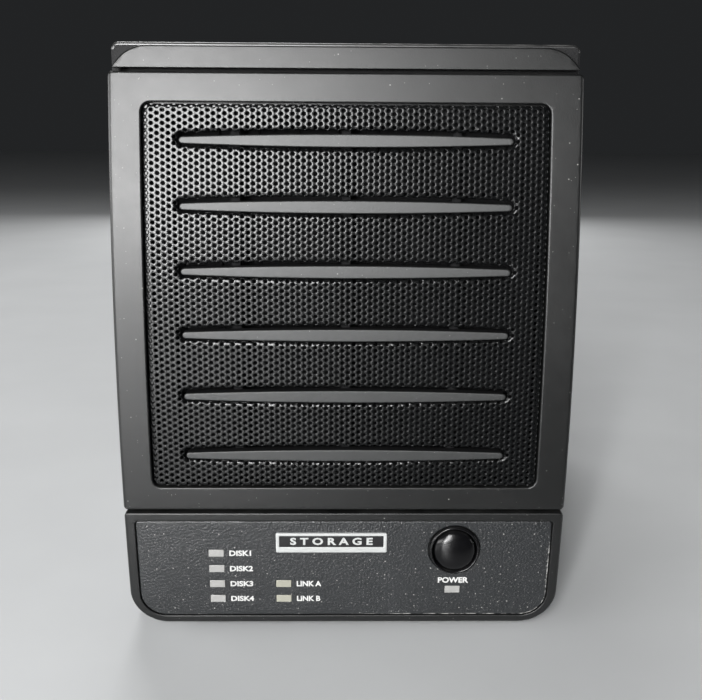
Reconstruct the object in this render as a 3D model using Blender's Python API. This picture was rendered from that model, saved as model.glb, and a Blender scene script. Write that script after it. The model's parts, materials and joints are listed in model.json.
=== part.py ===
"""Desktop storage enclosure with four drive bays: a steel casing, a moulded front with a convex
door over the drives, a control section below it, and the drives, boards, fan and power supply
inside. Dimensions are in millimetres and are scaled to metres as each mesh is made. +Z is up, the
front faces -Y, and the origin is at the bottom centre of the footprint. Left is -X."""

import math

import bmesh
import bpy
from mathutils import Matrix, Vector

for old in list(bpy.data.objects):
    bpy.data.objects.remove(old, do_unlink=True)

MM = 0.001               # metres in a millimetre
GAP = 0.3                # usual clearance between two pieces

# ---- overall
HALF_W = 127.0 / 2
BEZEL_Z = 2.0            # underside of the bezel
CASE_TOP = 170.5
REAR_Y = 104.3           # outer face of the rear panel
CASE_SHEET = 1.0         # thickness of the casing's steel
CHASSIS_HALF = HALF_W - CASE_SHEET - GAP

# ---- convex front
APEX_Y = -107.2          # foremost point
ARC_R = 430.0            # radius of the side profile
ARC_Z = BEZEL_Z + 83.5   # height of the foremost line
ARC_STEP = 10.5          # height of one facet

# ---- bezel
BEZEL_TOP = BEZEL_Z + 167.0
LOWER_TOP = BEZEL_Z + 37.3    # top of the control section
STRIP_LO = BEZEL_Z + 161.3    # underside of the strip above the door
TOP_R, BOTTOM_R = 10.5, 11.0
FRAME_FRONT = -94.7      # square-shouldered frame of the bezel, behind the door and the strip
BEZEL_BACK = -88.7
FRAME_TOP, FRAME_TOP_R = 170.2, 2.0

# ---- door
DOOR_LO, DOOR_HI = BEZEL_Z + 38.4, BEZEL_Z + 160.3
DOOR_BACK = -95.2
OPEN_HALF, OPEN_LO, OPEN_HI = 54.8, BEZEL_Z + 45.4, BEZEL_Z + 152.5
LEDGE_Y = DOOR_BACK - 2.5     # ledge at the back of the opening
MESH_GAP, MESH_SHEET = 0.5, 0.8
FIN_COUNT, FIN_PITCH = 6, 17.44
FIN_FIRST = BEZEL_Z + 142.6   # highest fin
FIN_HALF, FIN_T, FIN_TAPER = 44.7, 3.35, 1.6    # half length, middle thickness, loss at the tip
FIN_PROUD, FIN_DEPTH = 0.3, 3.4                 # ahead of and behind the convex front
SLOT_GAP = 0.75
PIN_X, PIN_Y, PIN_R = -61.0, -97.7, 1.0
HINGE = (PIN_X, PIN_Y, (DOOR_LO + DOOR_HI) / 2)
MAGNET, MAGNET_HALF_W, MAGNET_HALF_H = (58.6, 103.0), 3.0, 6.0    # centre is (x, z)

# ---- control section
PANEL_HALF, PANEL_LO, PANEL_HI = 60.6, BEZEL_Z + 2.5, BEZEL_Z + 34.8
LIGHT_HALF_W, LIGHT_HALF_H = 2.25, 1.1
DISK_LIGHT_X, LINK_LIGHT_X = -37.5, -17.9
LIGHT_TOP, LIGHT_PITCH = BEZEL_Z + 24.1, 5.2
POWER_LIGHT_Z = BEZEL_Z + 11.7
BUTTON = BUTTON_X, BUTTON_Z = 32.2, BEZEL_Z + 25.5
BADGE = BADGE_X, BADGE_Z = -3.8, BEZEL_Z + 27.8
BADGE_HALF_W, BADGE_HALF_H = 16.15, 3.15
BOARD_FRONT, BOARD_BACK = -94.8, -93.2
LIGHT_BACK = -95.2       # rear end of the light pipes and the switch, ahead of the board

# ---- drives
BAYS, BAY_Z, BAY_PITCH = 4, 43.0, 28.9
DRIVE_HALF, DRIVE_L, DRIVE_H = 101.6 / 2, 147.0, 26.1
DRIVE_FRONT = BEZEL_BACK - 0.2
DRIVE_REAR = DRIVE_FRONT + DRIVE_L
CAGE_HALF, CAGE_FRONT, CAGE_REAR = 56.0, BEZEL_BACK + 1.6, 70.0
CAGE_Z = 4.3

# ---- rear: centres are (x, z)
FAN_HALF, FAN_BORE = 40.0, 38.0
FAN = FAN_X, FAN_Z = 0.0, 105.0
FAN_BACK = 103.0
FAN_FRONT = FAN_BACK - 25
ROTOR_FRONT, ROTOR_BACK = FAN_FRONT + 1.5, FAN_BACK - 3.6
ROTOR_MIDDLE = (ROTOR_FRONT + ROTOR_BACK) / 2
HOLE_OFFSET = FAN_HALF - 4.25
FAN_HOLES = [(i * HOLE_OFFSET, FAN_Z + j * HOLE_OFFSET) for i in (-1, 1) for j in (-1, 1)]
INLET, ROCKER = (-40.0, 21.0), (-10.0, 21.0)
STORAGE_PORT, HOST_PORT = (28.0, 13.6), (46.0, 16.2)


# ------------------------------------------------------------------ shapes
def front_y(z):
    """y of the convex front surface at height z."""
    return APEX_Y + ARC_R - math.sqrt(ARC_R**2 - (z - ARC_Z) ** 2)


def heights(lo, hi):
    """Heights at which the convex front is cut into facets, on one grid shared by all pieces."""
    step = math.floor((lo + 0.5 - BEZEL_Z) / ARC_STEP) + 1
    inner = []
    while BEZEL_Z + step * ARC_STEP < hi - 0.5:
        inner.append(BEZEL_Z + step * ARC_STEP)
        step += 1
    return [lo, *inner, hi]


def facet_y(z):
    """y of the faceted front at height z, on the shared grid."""
    step = math.floor((z - BEZEL_Z) / ARC_STEP)
    below = BEZEL_Z + step * ARC_STEP
    above = BEZEL_Z + (step + 1) * ARC_STEP
    share = (z - below) / (above - below)
    return front_y(below) * (1 - share) + front_y(above) * share


def arc_profile(lo, hi, inset):
    return [(facet_y(z) + inset, z) for z in heights(lo, hi)]


def prism(points, lo, hi, axis):
    """A closed prism. The points are (y, z) for axis X, (x, z) for Y and (x, y) for Z."""
    solid = bmesh.new()
    place = {
        "X": lambda u, v, along: (along, u, v),
        "Y": lambda u, v, along: (u, along, v),
        "Z": lambda u, v, along: (u, v, along),
    }[axis]
    first, last = [[solid.verts.new(place(u, v, end)) for u, v in points] for end in (lo, hi)]
    solid.faces.new(first)
    solid.faces.new(last[::-1])
    for i in range(len(points)):
        j = (i + 1) % len(points)
        solid.faces.new((first[i], last[i], last[j], first[j]))
    bmesh.ops.recalc_face_normals(solid, faces=solid.faces)
    return solid


def box(x_lo, x_hi, y_lo, y_hi, z_lo, z_hi):
    return prism([(x_lo, y_lo), (x_hi, y_lo), (x_hi, y_hi), (x_lo, y_hi)], z_lo, z_hi, "Z")


def centred_box(centre, half_w, half_h, y_lo, y_hi):
    x, z = centre
    return box(x - half_w, x + half_w, y_lo, y_hi, z - half_h, z + half_h)


def rounded(u_lo, u_hi, v_lo, v_hi, radii, steps=6):
    """Outline of a rectangle. The radii are one number, or four in the order low-left,
    low-right, top-right, top-left."""
    if not isinstance(radii, tuple):
        radii = (radii,) * 4
    points = []
    corners = [(u_lo, v_lo, 180), (u_hi, v_lo, 270), (u_hi, v_hi, 0), (u_lo, v_hi, 90)]
    for (u, v, start), radius in zip(corners, radii):
        if radius <= 0:
            points.append((u, v))
            continue
        centre_u = u + radius if u == u_lo else u - radius
        centre_v = v + radius if v == v_lo else v - radius
        for i in range(steps + 1):
            angle = math.radians(start + 90 * i / steps)
            points.append(
                (centre_u + radius * math.cos(angle), centre_v + radius * math.sin(angle))
            )
    return points


def centred_outline(centre, half_w, half_h, radii, steps):
    x, z = centre
    return rounded(x - half_w, x + half_w, z - half_h, z + half_h, radii, steps)


def shifted(points, centre):
    return [(centre[0] + u, centre[1] + v) for u, v in points]


def disc(u, v, radius, count=24, start=0.0):
    angles = [start + 2 * math.pi * i / count for i in range(count)]
    return [(u + radius * math.cos(angle), v + radius * math.sin(angle)) for angle in angles]


def mirrored(side, inner, outer):
    """The two x limits, in order, of a span on the side -1 or 1."""
    return sorted((side * inner, side * outer))


def turned(profile, centre, count=24):
    """A turned solid about an axis along Y. The profile is (radius, y); one that starts
    and ends on the axis is capped there, and any other is a closed loop that makes a ring."""
    solid = bmesh.new()
    rings = []
    for radius, y in profile:
        points = [centre] if radius < 1e-6 else disc(*centre, radius, count)
        rings.append([solid.verts.new((x, y, z)) for x, z in points])
    pairs = list(zip(rings, rings[1:]))
    if len(rings[0]) > 1:
        pairs.append((rings[-1], rings[0]))
    for near, far in pairs:
        for i in range(count):
            j = (i + 1) % count
            if len(near) == 1:
                solid.faces.new((near[0], far[i], far[j]))
            elif len(far) == 1:
                solid.faces.new((near[i], far[0], near[j]))
            else:
                solid.faces.new((near[i], far[i], far[j], near[j]))
    bmesh.ops.recalc_face_normals(solid, faces=solid.faces)
    return solid


def swept(path, section):
    """A bar along the path. The section is a list of (u, v) about the path, with u along X."""
    solid = bmesh.new()
    across = Vector((1, 0, 0))
    rings = []
    for i, point in enumerate(path):
        along = (path[min(i + 1, len(path) - 1)] - path[max(i - 1, 0)]).normalized()
        side = (across - along * across.dot(along)).normalized()
        third = along.cross(side)
        rings.append([solid.verts.new(point + side * u + third * v) for u, v in section])
    for near, far in zip(rings, rings[1:]):
        for i in range(len(section)):
            j = (i + 1) % len(section)
            solid.faces.new((near[i], near[j], far[j], far[i]))
    solid.faces.new(rings[0])
    solid.faces.new(rings[-1])
    bmesh.ops.recalc_face_normals(solid, faces=solid.faces)
    return solid


def smooth_path(points, steps=4):
    """Points on a Catmull-Rom curve through the given ones."""
    knots = [Vector(point) for point in points]
    knots = [2 * knots[0] - knots[1], *knots, 2 * knots[-1] - knots[-2]]
    path = []
    for before, start, end, after in zip(knots, knots[1:], knots[2:], knots[3:]):
        for i in range(steps):
            t = i / steps
            linear = (end - before) * t
            square = (2 * before - 5 * start + 4 * end - after) * t**2
            cube = (3 * start - before - 3 * end + after) * t**3
            path.append(0.5 * (2 * start + linear + square + cube))
    path.append(knots[-2])
    return path


def together(*shapes):
    """Several separate shapes in one mesh, for use as one cutter."""
    joined = bmesh.new()
    for shape in shapes:
        copies = {vert: joined.verts.new(vert.co) for vert in shape.verts}
        for face in shape.faces:
            joined.faces.new([copies[vert] for vert in face.verts])
        shape.free()
    return joined


def temporary(solid):
    mesh = bpy.data.meshes.new("shape")
    solid.to_mesh(mesh)
    solid.free()
    obj = bpy.data.objects.new("shape", mesh)
    bpy.context.scene.collection.objects.link(obj)
    return obj


def boolean(base, tools, operation):
    """The base with each tool cut away, joined on or intersected by the exact solver."""
    target = temporary(base)
    helpers = [temporary(tool) for tool in tools]
    for helper in helpers:
        modifier = target.modifiers.new(operation, "BOOLEAN")
        modifier.operation = operation
        modifier.solver = "EXACT"
        modifier.object = helper
        helper.hide_render = True
    bpy.context.view_layer.update()
    evaluated = target.evaluated_get(bpy.context.evaluated_depsgraph_get())
    result = bmesh.new()
    result.from_mesh(evaluated.to_mesh())
    evaluated.to_mesh_clear()
    for obj in (target, *helpers):
        mesh = obj.data
        bpy.data.objects.remove(obj, do_unlink=True)
        bpy.data.meshes.remove(mesh)
    bmesh.ops.remove_doubles(result, verts=result.verts, dist=1e-4)
    bmesh.ops.dissolve_degenerate(result, edges=result.edges, dist=1e-4)
    return result


def cut(base, *tools):
    return boolean(base, tools, "DIFFERENCE")


def join(base, *tools):
    return boolean(base, tools, "UNION")


def common(base, *tools):
    return boolean(base, tools, "INTERSECT")


# ------------------------------------------------------------------ materials and objects
BLACK_ABS = dict(colour=(0.022, 0.023, 0.024), roughness=0.45)
CHARCOAL = dict(colour=(0.03, 0.033, 0.036), roughness=0.6)
GLOSS_BLACK = dict(colour=(0.008, 0.008, 0.009), roughness=0.12)
PAINTED_STEEL = dict(colour=(0.018, 0.018, 0.019), roughness=0.42)
PERFORATED = dict(colour=(0.012, 0.012, 0.013), roughness=0.3)
STEEL = dict(colour=(0.55, 0.56, 0.57), roughness=0.35, metallic=1.0)
DARK_STEEL = dict(colour=(0.1, 0.1, 0.1), roughness=0.4, metallic=1.0)
CHROME = dict(colour=(0.8, 0.8, 0.8), roughness=0.12, metallic=1.0)
MILKY = dict(colour=(0.42, 0.40, 0.36), roughness=0.35)
AMBER_MILKY = dict(colour=(0.45, 0.42, 0.30), roughness=0.35)
BOARD = dict(colour=(0.02, 0.12, 0.06), roughness=0.4)
RUBBER = dict(colour=(0.02, 0.02, 0.02), roughness=0.9)
CABLE = dict(colour=(0.03, 0.03, 0.03), roughness=0.6)
RIBBON = dict(colour=(0.45, 0.46, 0.48), roughness=0.6)
ALUMINIUM = dict(colour=(0.6, 0.61, 0.62), roughness=0.4, metallic=1.0)


def material(name, colour, roughness, metallic=0.0):
    made = bpy.data.materials.new(name)
    made.use_nodes = True
    shader = made.node_tree.nodes["Principled BSDF"]
    shader.inputs["Base Color"].default_value = (*colour, 1.0)
    shader.inputs["Roughness"].default_value = roughness
    shader.inputs["Metallic"].default_value = metallic
    made.diffuse_color = (*colour, 1.0)
    return made


def piece(name, solid, look, origin=(0.0, 0.0, 0.0), smooth=False, parent=None):
    """The named object of one piece, with its own material and its origin at the given point."""
    bmesh.ops.triangulate(solid, faces=[face for face in solid.faces if len(face.verts) > 4])
    solid.transform(Matrix.Translation(-Vector(origin)))
    solid.transform(Matrix.Scale(MM, 4))
    mesh = bpy.data.meshes.new(name)
    solid.to_mesh(mesh)
    solid.free()
    if smooth:
        mesh.shade_smooth()
        mesh.set_sharp_from_angle(angle=math.radians(35))
    mesh.materials.append(material(name, **look))
    obj = bpy.data.objects.new(name, mesh)
    obj.location = Vector(origin) * MM
    bpy.context.scene.collection.objects.link(obj)
    if parent is not None:
        bpy.context.view_layer.update()
        obj.parent = parent
        obj.matrix_parent_inverse = parent.matrix_world.inverted()
    return obj


# ------------------------------------------------------------------ casing
SCREW_Y, SCREW_Z = 92.0, 10.5     # cover screws, one on each side


def case_outline(inset, z_lo, radius, steps=3):
    return rounded(
        -HALF_W + inset, HALF_W - inset, z_lo, CASE_TOP - inset, (0, 0, radius, radius), steps
    )


def side_screw_disc(radius, count, x_lo, x_hi):
    return prism(disc(SCREW_Y, SCREW_Z, radius, count), x_lo, x_hi, "X")


def casing_cover():
    front = BEZEL_BACK + GAP
    cover = cut(
        prism(case_outline(0, 2.5, 2.0), front, REAR_Y, "Y"),
        prism(case_outline(CASE_SHEET, -1, 1.0), front + CASE_SHEET, REAR_Y + 5, "Y"),
        # opening inside the lip at the front
        prism(case_outline(8, -1, 1.0), BEZEL_BACK - 5, BEZEL_BACK + 3, "Y"),
        side_screw_disc(1.9, 16, -HALF_W - 5, HALF_W + 5),
    )
    piece("casing_cover", cover, PAINTED_STEEL)


def chassis_base():
    half = CHASSIS_HALF
    inner = half - CASE_SHEET
    front, rear = BEZEL_BACK + 1.8, REAR_Y - CASE_SHEET - GAP
    base = cut(
        box(-half, half, front, rear, 3.0, 18.0),
        box(-inner, inner, front - 5, rear + 5, 3.0 + CASE_SHEET, 30.0),
        side_screw_disc(1.2, 12, -half - 5, half + 5),
    )
    piece("chassis_base", base, STEEL)


def cover_screws():
    for name, side in (("left", -1), ("right", 1)):
        shank = side_screw_disc(0.9, 12, *mirrored(side, CHASSIS_HALF - 3, HALF_W + 1))
        head = side_screw_disc(3.4, 16, *mirrored(side, HALF_W + 0.3, HALF_W + 1.6))
        slot = box(
            *mirrored(side, HALF_W + 1.1, HALF_W + 3),
            SCREW_Y - 0.5, SCREW_Y + 0.5, SCREW_Z - 2.5, SCREW_Z + 2.5,
        )
        piece("cover_screw_" + name, cut(join(shank, head), slot), DARK_STEEL)


def feet():
    for end, y in (("front", -76), ("rear", 88)):
        for side, x in (("left", -50), ("right", 50)):
            foot = prism(disc(0, 0, 7.0), 0.0, 2.7, "Z")
            for vert in foot.verts:
                if vert.co.z < 0.1:    # the foot narrows to the ground
                    vert.co.x *= 0.93
                    vert.co.y *= 0.93
            placed = piece(f"foot_{end}_{side}", foot, RUBBER, smooth=True)
            placed.location = Vector((x, y, 0)) * MM


# ------------------------------------------------------------------ rear
GUARD_Y, WIRE_R = REAR_Y + 1.2, 0.8

# openings in the rear panel: centre, half width, half height
PORT_HOLES = [
    (INLET, 13.8, 10.3),
    (ROCKER, 9.8, 6.7),
    (STORAGE_PORT, 6.05, 2.6),
    (HOST_PORT, 6.3, 5.5),
]
# outlines about their centres: (x, z) for the openings, (y, z) for the rocker
INLET_WELL = [(-12, -8), (12, -8), (12, 4), (8, 8), (-8, 8), (-12, 4)]
HOST_OPENING = [(-4.2, -3.9), (4.2, -3.9), (4.2, 2), (2.4, 3.9), (-2.4, 3.9), (-4.2, 2)]
ROCKER_PROFILE = [(-2.2, -4.2), (-2.2, 4.2), (3.9, 4.6), (2.9, 0), (4.6, -4.6)]


def rear_box(centre, half_w, half_h, inner, outer):
    """A box whose y limits are measured from the rear panel's outer face."""
    return centred_box(centre, half_w, half_h, REAR_Y + inner, REAR_Y + outer)


def rear_prism(outline, inner, outer):
    return prism(outline, REAR_Y + inner, REAR_Y + outer, "Y")


def rear_panel():
    outline = case_outline(CASE_SHEET + GAP, 4.3, 0.8, 2)
    holes = [rear_prism(disc(*FAN, FAN_BORE, 40), -5, 5)]
    holes += [rear_box(*hole, -5, 5) for hole in PORT_HOLES]
    holes += [rear_prism(disc(*hole, 2.3, 12), -5, 5) for hole in FAN_HOLES]
    for x in (-52.0, 52.0):
        holes += [rear_box((x, 66.0 + 10.0 * i), 4.5, 1.5, -5, 5) for i in range(9)]
    piece("rear_panel", cut(rear_prism(outline, -CASE_SHEET, 0), together(*holes)), PAINTED_STEEL)


def fan_frame():
    """Square frame with a hub carried by four struts at the back."""
    outline = centred_outline(FAN, FAN_HALF, FAN_HALF, 4, 3)
    cut_front, cut_back = FAN_FRONT - 5, FAN_BACK + 5
    frame = cut(
        prism(outline, FAN_FRONT, FAN_BACK, "Y"),
        prism(disc(*FAN, FAN_BORE, 40), cut_front, cut_back, "Y"),
        together(*[prism(disc(*hole, 2.3, 12), cut_front, cut_back, "Y") for hole in FAN_HOLES]),
    )
    struts = []
    for i in range(4):
        strut = box(10, 39, FAN_BACK - 3, FAN_BACK - 0.2, -1.5, 1.5)
        turn = Matrix.Rotation(math.radians(90 * i + 20), 4, "Y")
        strut.transform(Matrix.Translation((0, 0, FAN_Z)) @ turn)
        struts.append(strut)
    hub = prism(disc(*FAN, 16.0), FAN_BACK - 3.2, FAN_BACK, "Y")
    piece("fan_frame", join(frame, hub, *struts), GLOSS_BLACK, smooth=True)


def fan_rotor():
    hub_r, hub_edge = 15.5, 1.5
    hub = turned(
        [
            (0, ROTOR_FRONT), (hub_r - hub_edge, ROTOR_FRONT), (hub_r, ROTOR_FRONT + hub_edge),
            (hub_r, ROTOR_BACK), (0, ROTOR_BACK),
        ],
        FAN, 28,
    )
    blades = []
    count = 7
    for i in range(count):
        blade = box(-0.6, 0.6, -9.5, 9.5, 13.5, 36.4)
        blade.transform(
            Matrix.Translation((0, ROTOR_MIDDLE + 0.5, FAN_Z))
            @ Matrix.Rotation(2 * math.pi * i / count, 4, "Y")
            @ Matrix.Rotation(math.radians(48), 4, "Z")
        )
        blades.append(blade)
    axle = (FAN_X, ROTOR_MIDDLE, FAN_Z)
    piece("fan_rotor", join(hub, *blades), GLOSS_BLACK, origin=axle, smooth=True)


def wire_ring(centre, radius, count):
    return turned(disc(radius, GUARD_Y, WIRE_R, 5), centre, count)


def fan_guard():
    """Wire guard: four rings and four arms that end in eyelets."""
    arms = []
    for x, z in FAN_HOLES:
        direction = Vector((x, 0, z - FAN_Z))
        section = disc(0, 0, WIRE_R * 0.95, 5, math.pi / 6)
        arm = prism(section, 8.0, direction.length - 2.6, "Z")
        turn = Vector((0, 0, 1)).rotation_difference(direction.normalized())
        arm.transform(Matrix.Translation((0, GUARD_Y, FAN_Z)) @ turn.to_matrix().to_4x4())
        arms.append(arm)
    rings = [wire_ring(FAN, radius, 28) for radius in (18.0, 26.0, 34.0)]
    eyelets = [wire_ring(hole, 3.0, 11) for hole in FAN_HOLES]
    guard = join(wire_ring(FAN, 10.0, 20), *arms, *rings, *eyelets)
    piece("fan_guard", guard, CHROME, smooth=True)


def fan_screws():
    top, under = REAR_Y + 3.2, REAR_Y + 2.3    # outer and inner faces of the head
    tip = FAN_BACK - 6
    head_r, shank_r = 3.4, 1.5
    profile = [
        (0, top), (2.6, top), (head_r, top - 0.6), (head_r, under),
        (shank_r, under), (shank_r, tip), (0, tip),
    ]
    for i, hole in enumerate(FAN_HOLES):
        slot = centred_box(hole, 1.6, 0.3, top - 0.5, top + 1)
        piece(f"fan_screw_{i + 1}", cut(turned(profile, hole, 16), slot), DARK_STEEL)


def power_inlet():
    """Inlet with three blades in its well."""
    body = join(
        rear_box(INLET, 13.4, 9.9, -20, 0.4),
        rear_prism(centred_outline(INLET, 15.5, 12, 2, 2), 0.3, 1.8),
    )
    body = cut(body, rear_prism(shifted(INLET_WELL, INLET), -16, 5))
    centres = shifted([(-7, -2.5), (7, -2.5), (0, 2.0)], INLET)
    blades = [rear_box(centre, 1, 2, -17, -1.5) for centre in centres]
    piece("power_inlet", join(body, *blades), BLACK_ABS)


def rocker_switch():
    """Frame in the panel, and the rocker on its own axis."""
    frame = join(
        rear_box(ROCKER, 9.6, 6.5, -12, 0.4),
        rear_prism(centred_outline(ROCKER, 10.8, 7.8, 1, 2), 0.3, 1.3),
    )
    piece("rocker_frame", cut(frame, rear_box(ROCKER, 8.6, 5.4, -8, 5)), BLACK_ABS)
    x, z = ROCKER
    axle_y = REAR_Y - 2.4
    rocker = prism(shifted(ROCKER_PROFILE, (axle_y, z)), x - 8.2, x + 8.2, "X")
    piece("rocker_switch", rocker, BLACK_ABS, origin=(x, axle_y, z))


def ports():
    """Two sockets, each a shell with a tongue inside."""
    x, z = STORAGE_PORT
    shell = cut(
        rear_box(STORAGE_PORT, 5.8, 2.3, -12, 0.3), rear_box(STORAGE_PORT, 5.0, 1.6, -8, 3)
    )
    tongue = box(x - 4.0, x + 4.0, REAR_Y - 9, REAR_Y - 0.5, z + 0.2, z + 1.1)
    piece("storage_port", join(shell, tongue), STEEL)

    x, z = HOST_PORT
    shell = cut(
        rear_box(HOST_PORT, 6.0, 5.2, -16, 0.3),
        rear_prism(shifted(HOST_OPENING, HOST_PORT), -10, 3),
    )
    tongue = box(x - 2.8, x + 2.8, REAR_Y - 11, REAR_Y - 1.0, z - 1.6, z + 1.4)
    piece("host_port", join(shell, tongue), STEEL)


# ------------------------------------------------------------------ inside
def bay(i):
    """Height of the floor of bay i, counted from 0 at the bottom."""
    return BAY_Z + BAY_PITCH * i


def drive_cage():
    """Cage with a floor under the lowest bay, ledges for the others and windows in its sides."""
    top = bay(BAYS) + 1.0
    inner = CAGE_HALF - 1
    cut_front, cut_rear = CAGE_FRONT - 5, CAGE_REAR + 5
    cage = cut(
        box(-CAGE_HALF, CAGE_HALF, CAGE_FRONT, CAGE_REAR, CAGE_Z, top),
        box(-inner, inner, cut_front, cut_rear, BAY_Z - 1.0, top - 1),
        box(-inner, inner, cut_front, cut_rear, 0.0, BAY_Z - 2.0),
    )
    ledges = []
    for i in range(1, BAYS):
        for side in (-1, 1):
            x_span = mirrored(side, 51.4, CAGE_HALF - 0.5)
            z = bay(i)
            ledges.append(box(*x_span, CAGE_FRONT + 3, CAGE_REAR - 18, z - 0.4, z + 0.6))
    cage = join(cage, *ledges)
    outlines = [
        rounded(y - 13, y + 13, bay(i) + 5, bay(i) + 23, 3, 1)
        for i in range(BAYS)
        for y in (-62, -28, 6, 40)
    ]
    outlines.append(rounded(-60, 50, 10, 34, 3, 2))
    windows = together(*[prism(outline, -70, 70, "X") for outline in outlines])
    piece("drive_cage", cut(cage, windows), STEEL)


def drive_body(z):
    half, corner = DRIVE_HALF, 3    # the two rear corners are chamfered
    outline = [
        (-half, DRIVE_FRONT), (half, DRIVE_FRONT),
        (half, DRIVE_REAR - corner), (half - corner, DRIVE_REAR),
        (-half + corner, DRIVE_REAR), (-half, DRIVE_REAR - corner),
    ]
    lid = rounded(-half + 4, half - 4, DRIVE_FRONT + 6, DRIVE_REAR - 30, 6, 3)
    return join(
        prism(outline, z + 1.0, z + DRIVE_H + 0.3, "Z"),
        prism(lid, z + DRIVE_H, z + DRIVE_H + 1.0, "Z"),
    )


def drive_tray(z):
    """Slotted front plate with two side rails and a hollow pull."""
    slots = [
        prism(rounded(x, x + 8, z + 6, z + 23, 2, 2), -96, -91.0, "Y")
        for x in (-46 + 11 * i for i in range(6))
    ]
    plate = cut(box(-53.2, 53.2, -92.4, -89.0, z + 0.3, z + 28.4), together(*slots))
    rails = [
        box(*mirrored(side, DRIVE_HALF + 0.4, DRIVE_HALF + 1.8), -90.0, 46.0, z + 1.0, z + 20.0)
        for side in (-1, 1)
    ]
    pull = box(24, 48, -94.4, -92.0, z + 11.5, z + 17.5)
    return cut(join(plate, *rails, pull), box(26, 46, -96, -93.2, z + 13.0, z + 16.0))


def drive_connector(z):
    return cut(
        box(-21, 21, DRIVE_REAR + 0.4, DRIVE_REAR + 5.4, z + 3.0, z + 9.0),
        box(-19, 19, DRIVE_REAR - 2, DRIVE_REAR + 3.0, z + 5.4, z + 7.4),
    )


def drives():
    for i in range(BAYS):
        piece(f"drive_{i + 1}", drive_body(bay(i)), ALUMINIUM)
        piece(f"drive_tray_{i + 1}", drive_tray(bay(i)), BLACK_ABS)
    for i in range(BAYS):
        piece(f"drive_connector_{i + 1}", drive_connector(bay(i)), GLOSS_BLACK)


def backplane_board():
    board = box(-54.5, 54.5, DRIVE_REAR + 5.7, DRIVE_REAR + 7.3, BAY_Z - 0.5, bay(BAYS) - 0.5)
    windows = [
        prism(rounded(-45, 45, bay(i) + 13, bay(i) + 24, 2, 2), DRIVE_REAR, DRIVE_REAR + 20, "Y")
        for i in range(BAYS)
    ]
    piece("backplane_board", cut(board, together(*windows)), BOARD)


def power_supply():
    """Block with eight shallow grooves in its top."""
    grooves = [box(x, x + 4, -10, 50, 38.0, 45.0) for x in (-46 + 7 * i for i in range(8))]
    supply = cut(box(-54.0, 14.0, -20.0, 79.0, 4.6, 39.5), together(*grooves))
    piece("power_supply", supply, STEEL)


def main_board():
    """Board with three blocks on top."""
    board = join(
        box(18, 54, 45, 99, 9.0, 10.6),
        box(26, 40, 56, 70, 10.5, 12.4),
        box(22, 30, 78, 84, 10.5, 14.5),
        box(44, 50, 50, 74, 10.5, 16.0),
    )
    piece("main_board", board, BOARD)


# points on the centre lines of the cables: x, y, z
POWER_CABLE = [
    (-30, 74.0, 39.9), (-30, 74.4, 50), (-28, 73.0, 66), (-24, 71.5, 80), (-22, 71.0, 92),
]
RIBBON_CABLE = [
    (35, -90.8, 16), (35, -86.4, 9), (35, -74, 5.6), (35, 20, 5.2), (35, 40, 6.0), (35, 44.3, 9.8),
]


def cables():
    lead = swept(smooth_path(POWER_CABLE), disc(0, 0, 1.8, 8))
    piece("power_cable", lead, CABLE, smooth=True)
    flat_section = [(-5, -0.4), (5, -0.4), (5, 0.4), (-5, 0.4)]
    piece("panel_ribbon_cable", swept(smooth_path(RIBBON_CABLE), flat_section), RIBBON)


# ------------------------------------------------------------------ front
# name, x, z of each light
LIGHTS = [
    *[(f"disk_light_{i + 1}", DISK_LIGHT_X, LIGHT_TOP - LIGHT_PITCH * i) for i in range(BAYS)],
    *[(f"link_light_{i + 1}", LINK_LIGHT_X, LIGHT_TOP - LIGHT_PITCH * (2 + i)) for i in range(2)],
    ("power_light", BUTTON_X, POWER_LIGHT_Z),
]


def through_front(outline):
    """A prism along Y, longer than the whole front is deep."""
    return prism(outline, -130, -60, "Y")


def front_solid(lo, hi, inset, back, x_lo=-HALF_W, x_hi=HALF_W):
    """The block between the convex front, set back by inset, and a flat back."""
    return prism(arc_profile(lo, hi, inset) + [(back, hi), (back, lo)], x_lo, x_hi, "X")


def front_layer(outer, inner):
    """A layer over the control section, between two insets from the convex front."""
    profile = arc_profile(0.5, 45, outer) + arc_profile(0.5, 45, inner)[::-1]
    return prism(profile, -HALF_W, HALF_W, "X")


def panel_outline(inset):
    low, high = 7.5 - inset, 1.0 - inset
    return rounded(
        -PANEL_HALF + inset, PANEL_HALF - inset, PANEL_LO + inset, PANEL_HI - inset,
        (low, low, high, high),
    )


def light_holes(clearance):
    half_w, half_h = LIGHT_HALF_W + clearance, LIGHT_HALF_H + clearance
    return together(*[centred_box((x, z), half_w, half_h, -120, -80) for _, x, z in LIGHTS])


def button_hole(radius):
    return prism(disc(*BUTTON, radius, 32), -120, -80, "Y")


def pin_disc(radius, z_lo, z_hi):
    return prism(disc(PIN_X, PIN_Y, radius, 16), z_lo, z_hi, "Z")


def magnet_box(clearance, y_lo, y_hi):
    return centred_box(MAGNET, MAGNET_HALF_W + clearance, MAGNET_HALF_H + clearance, y_lo, y_hi)


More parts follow.
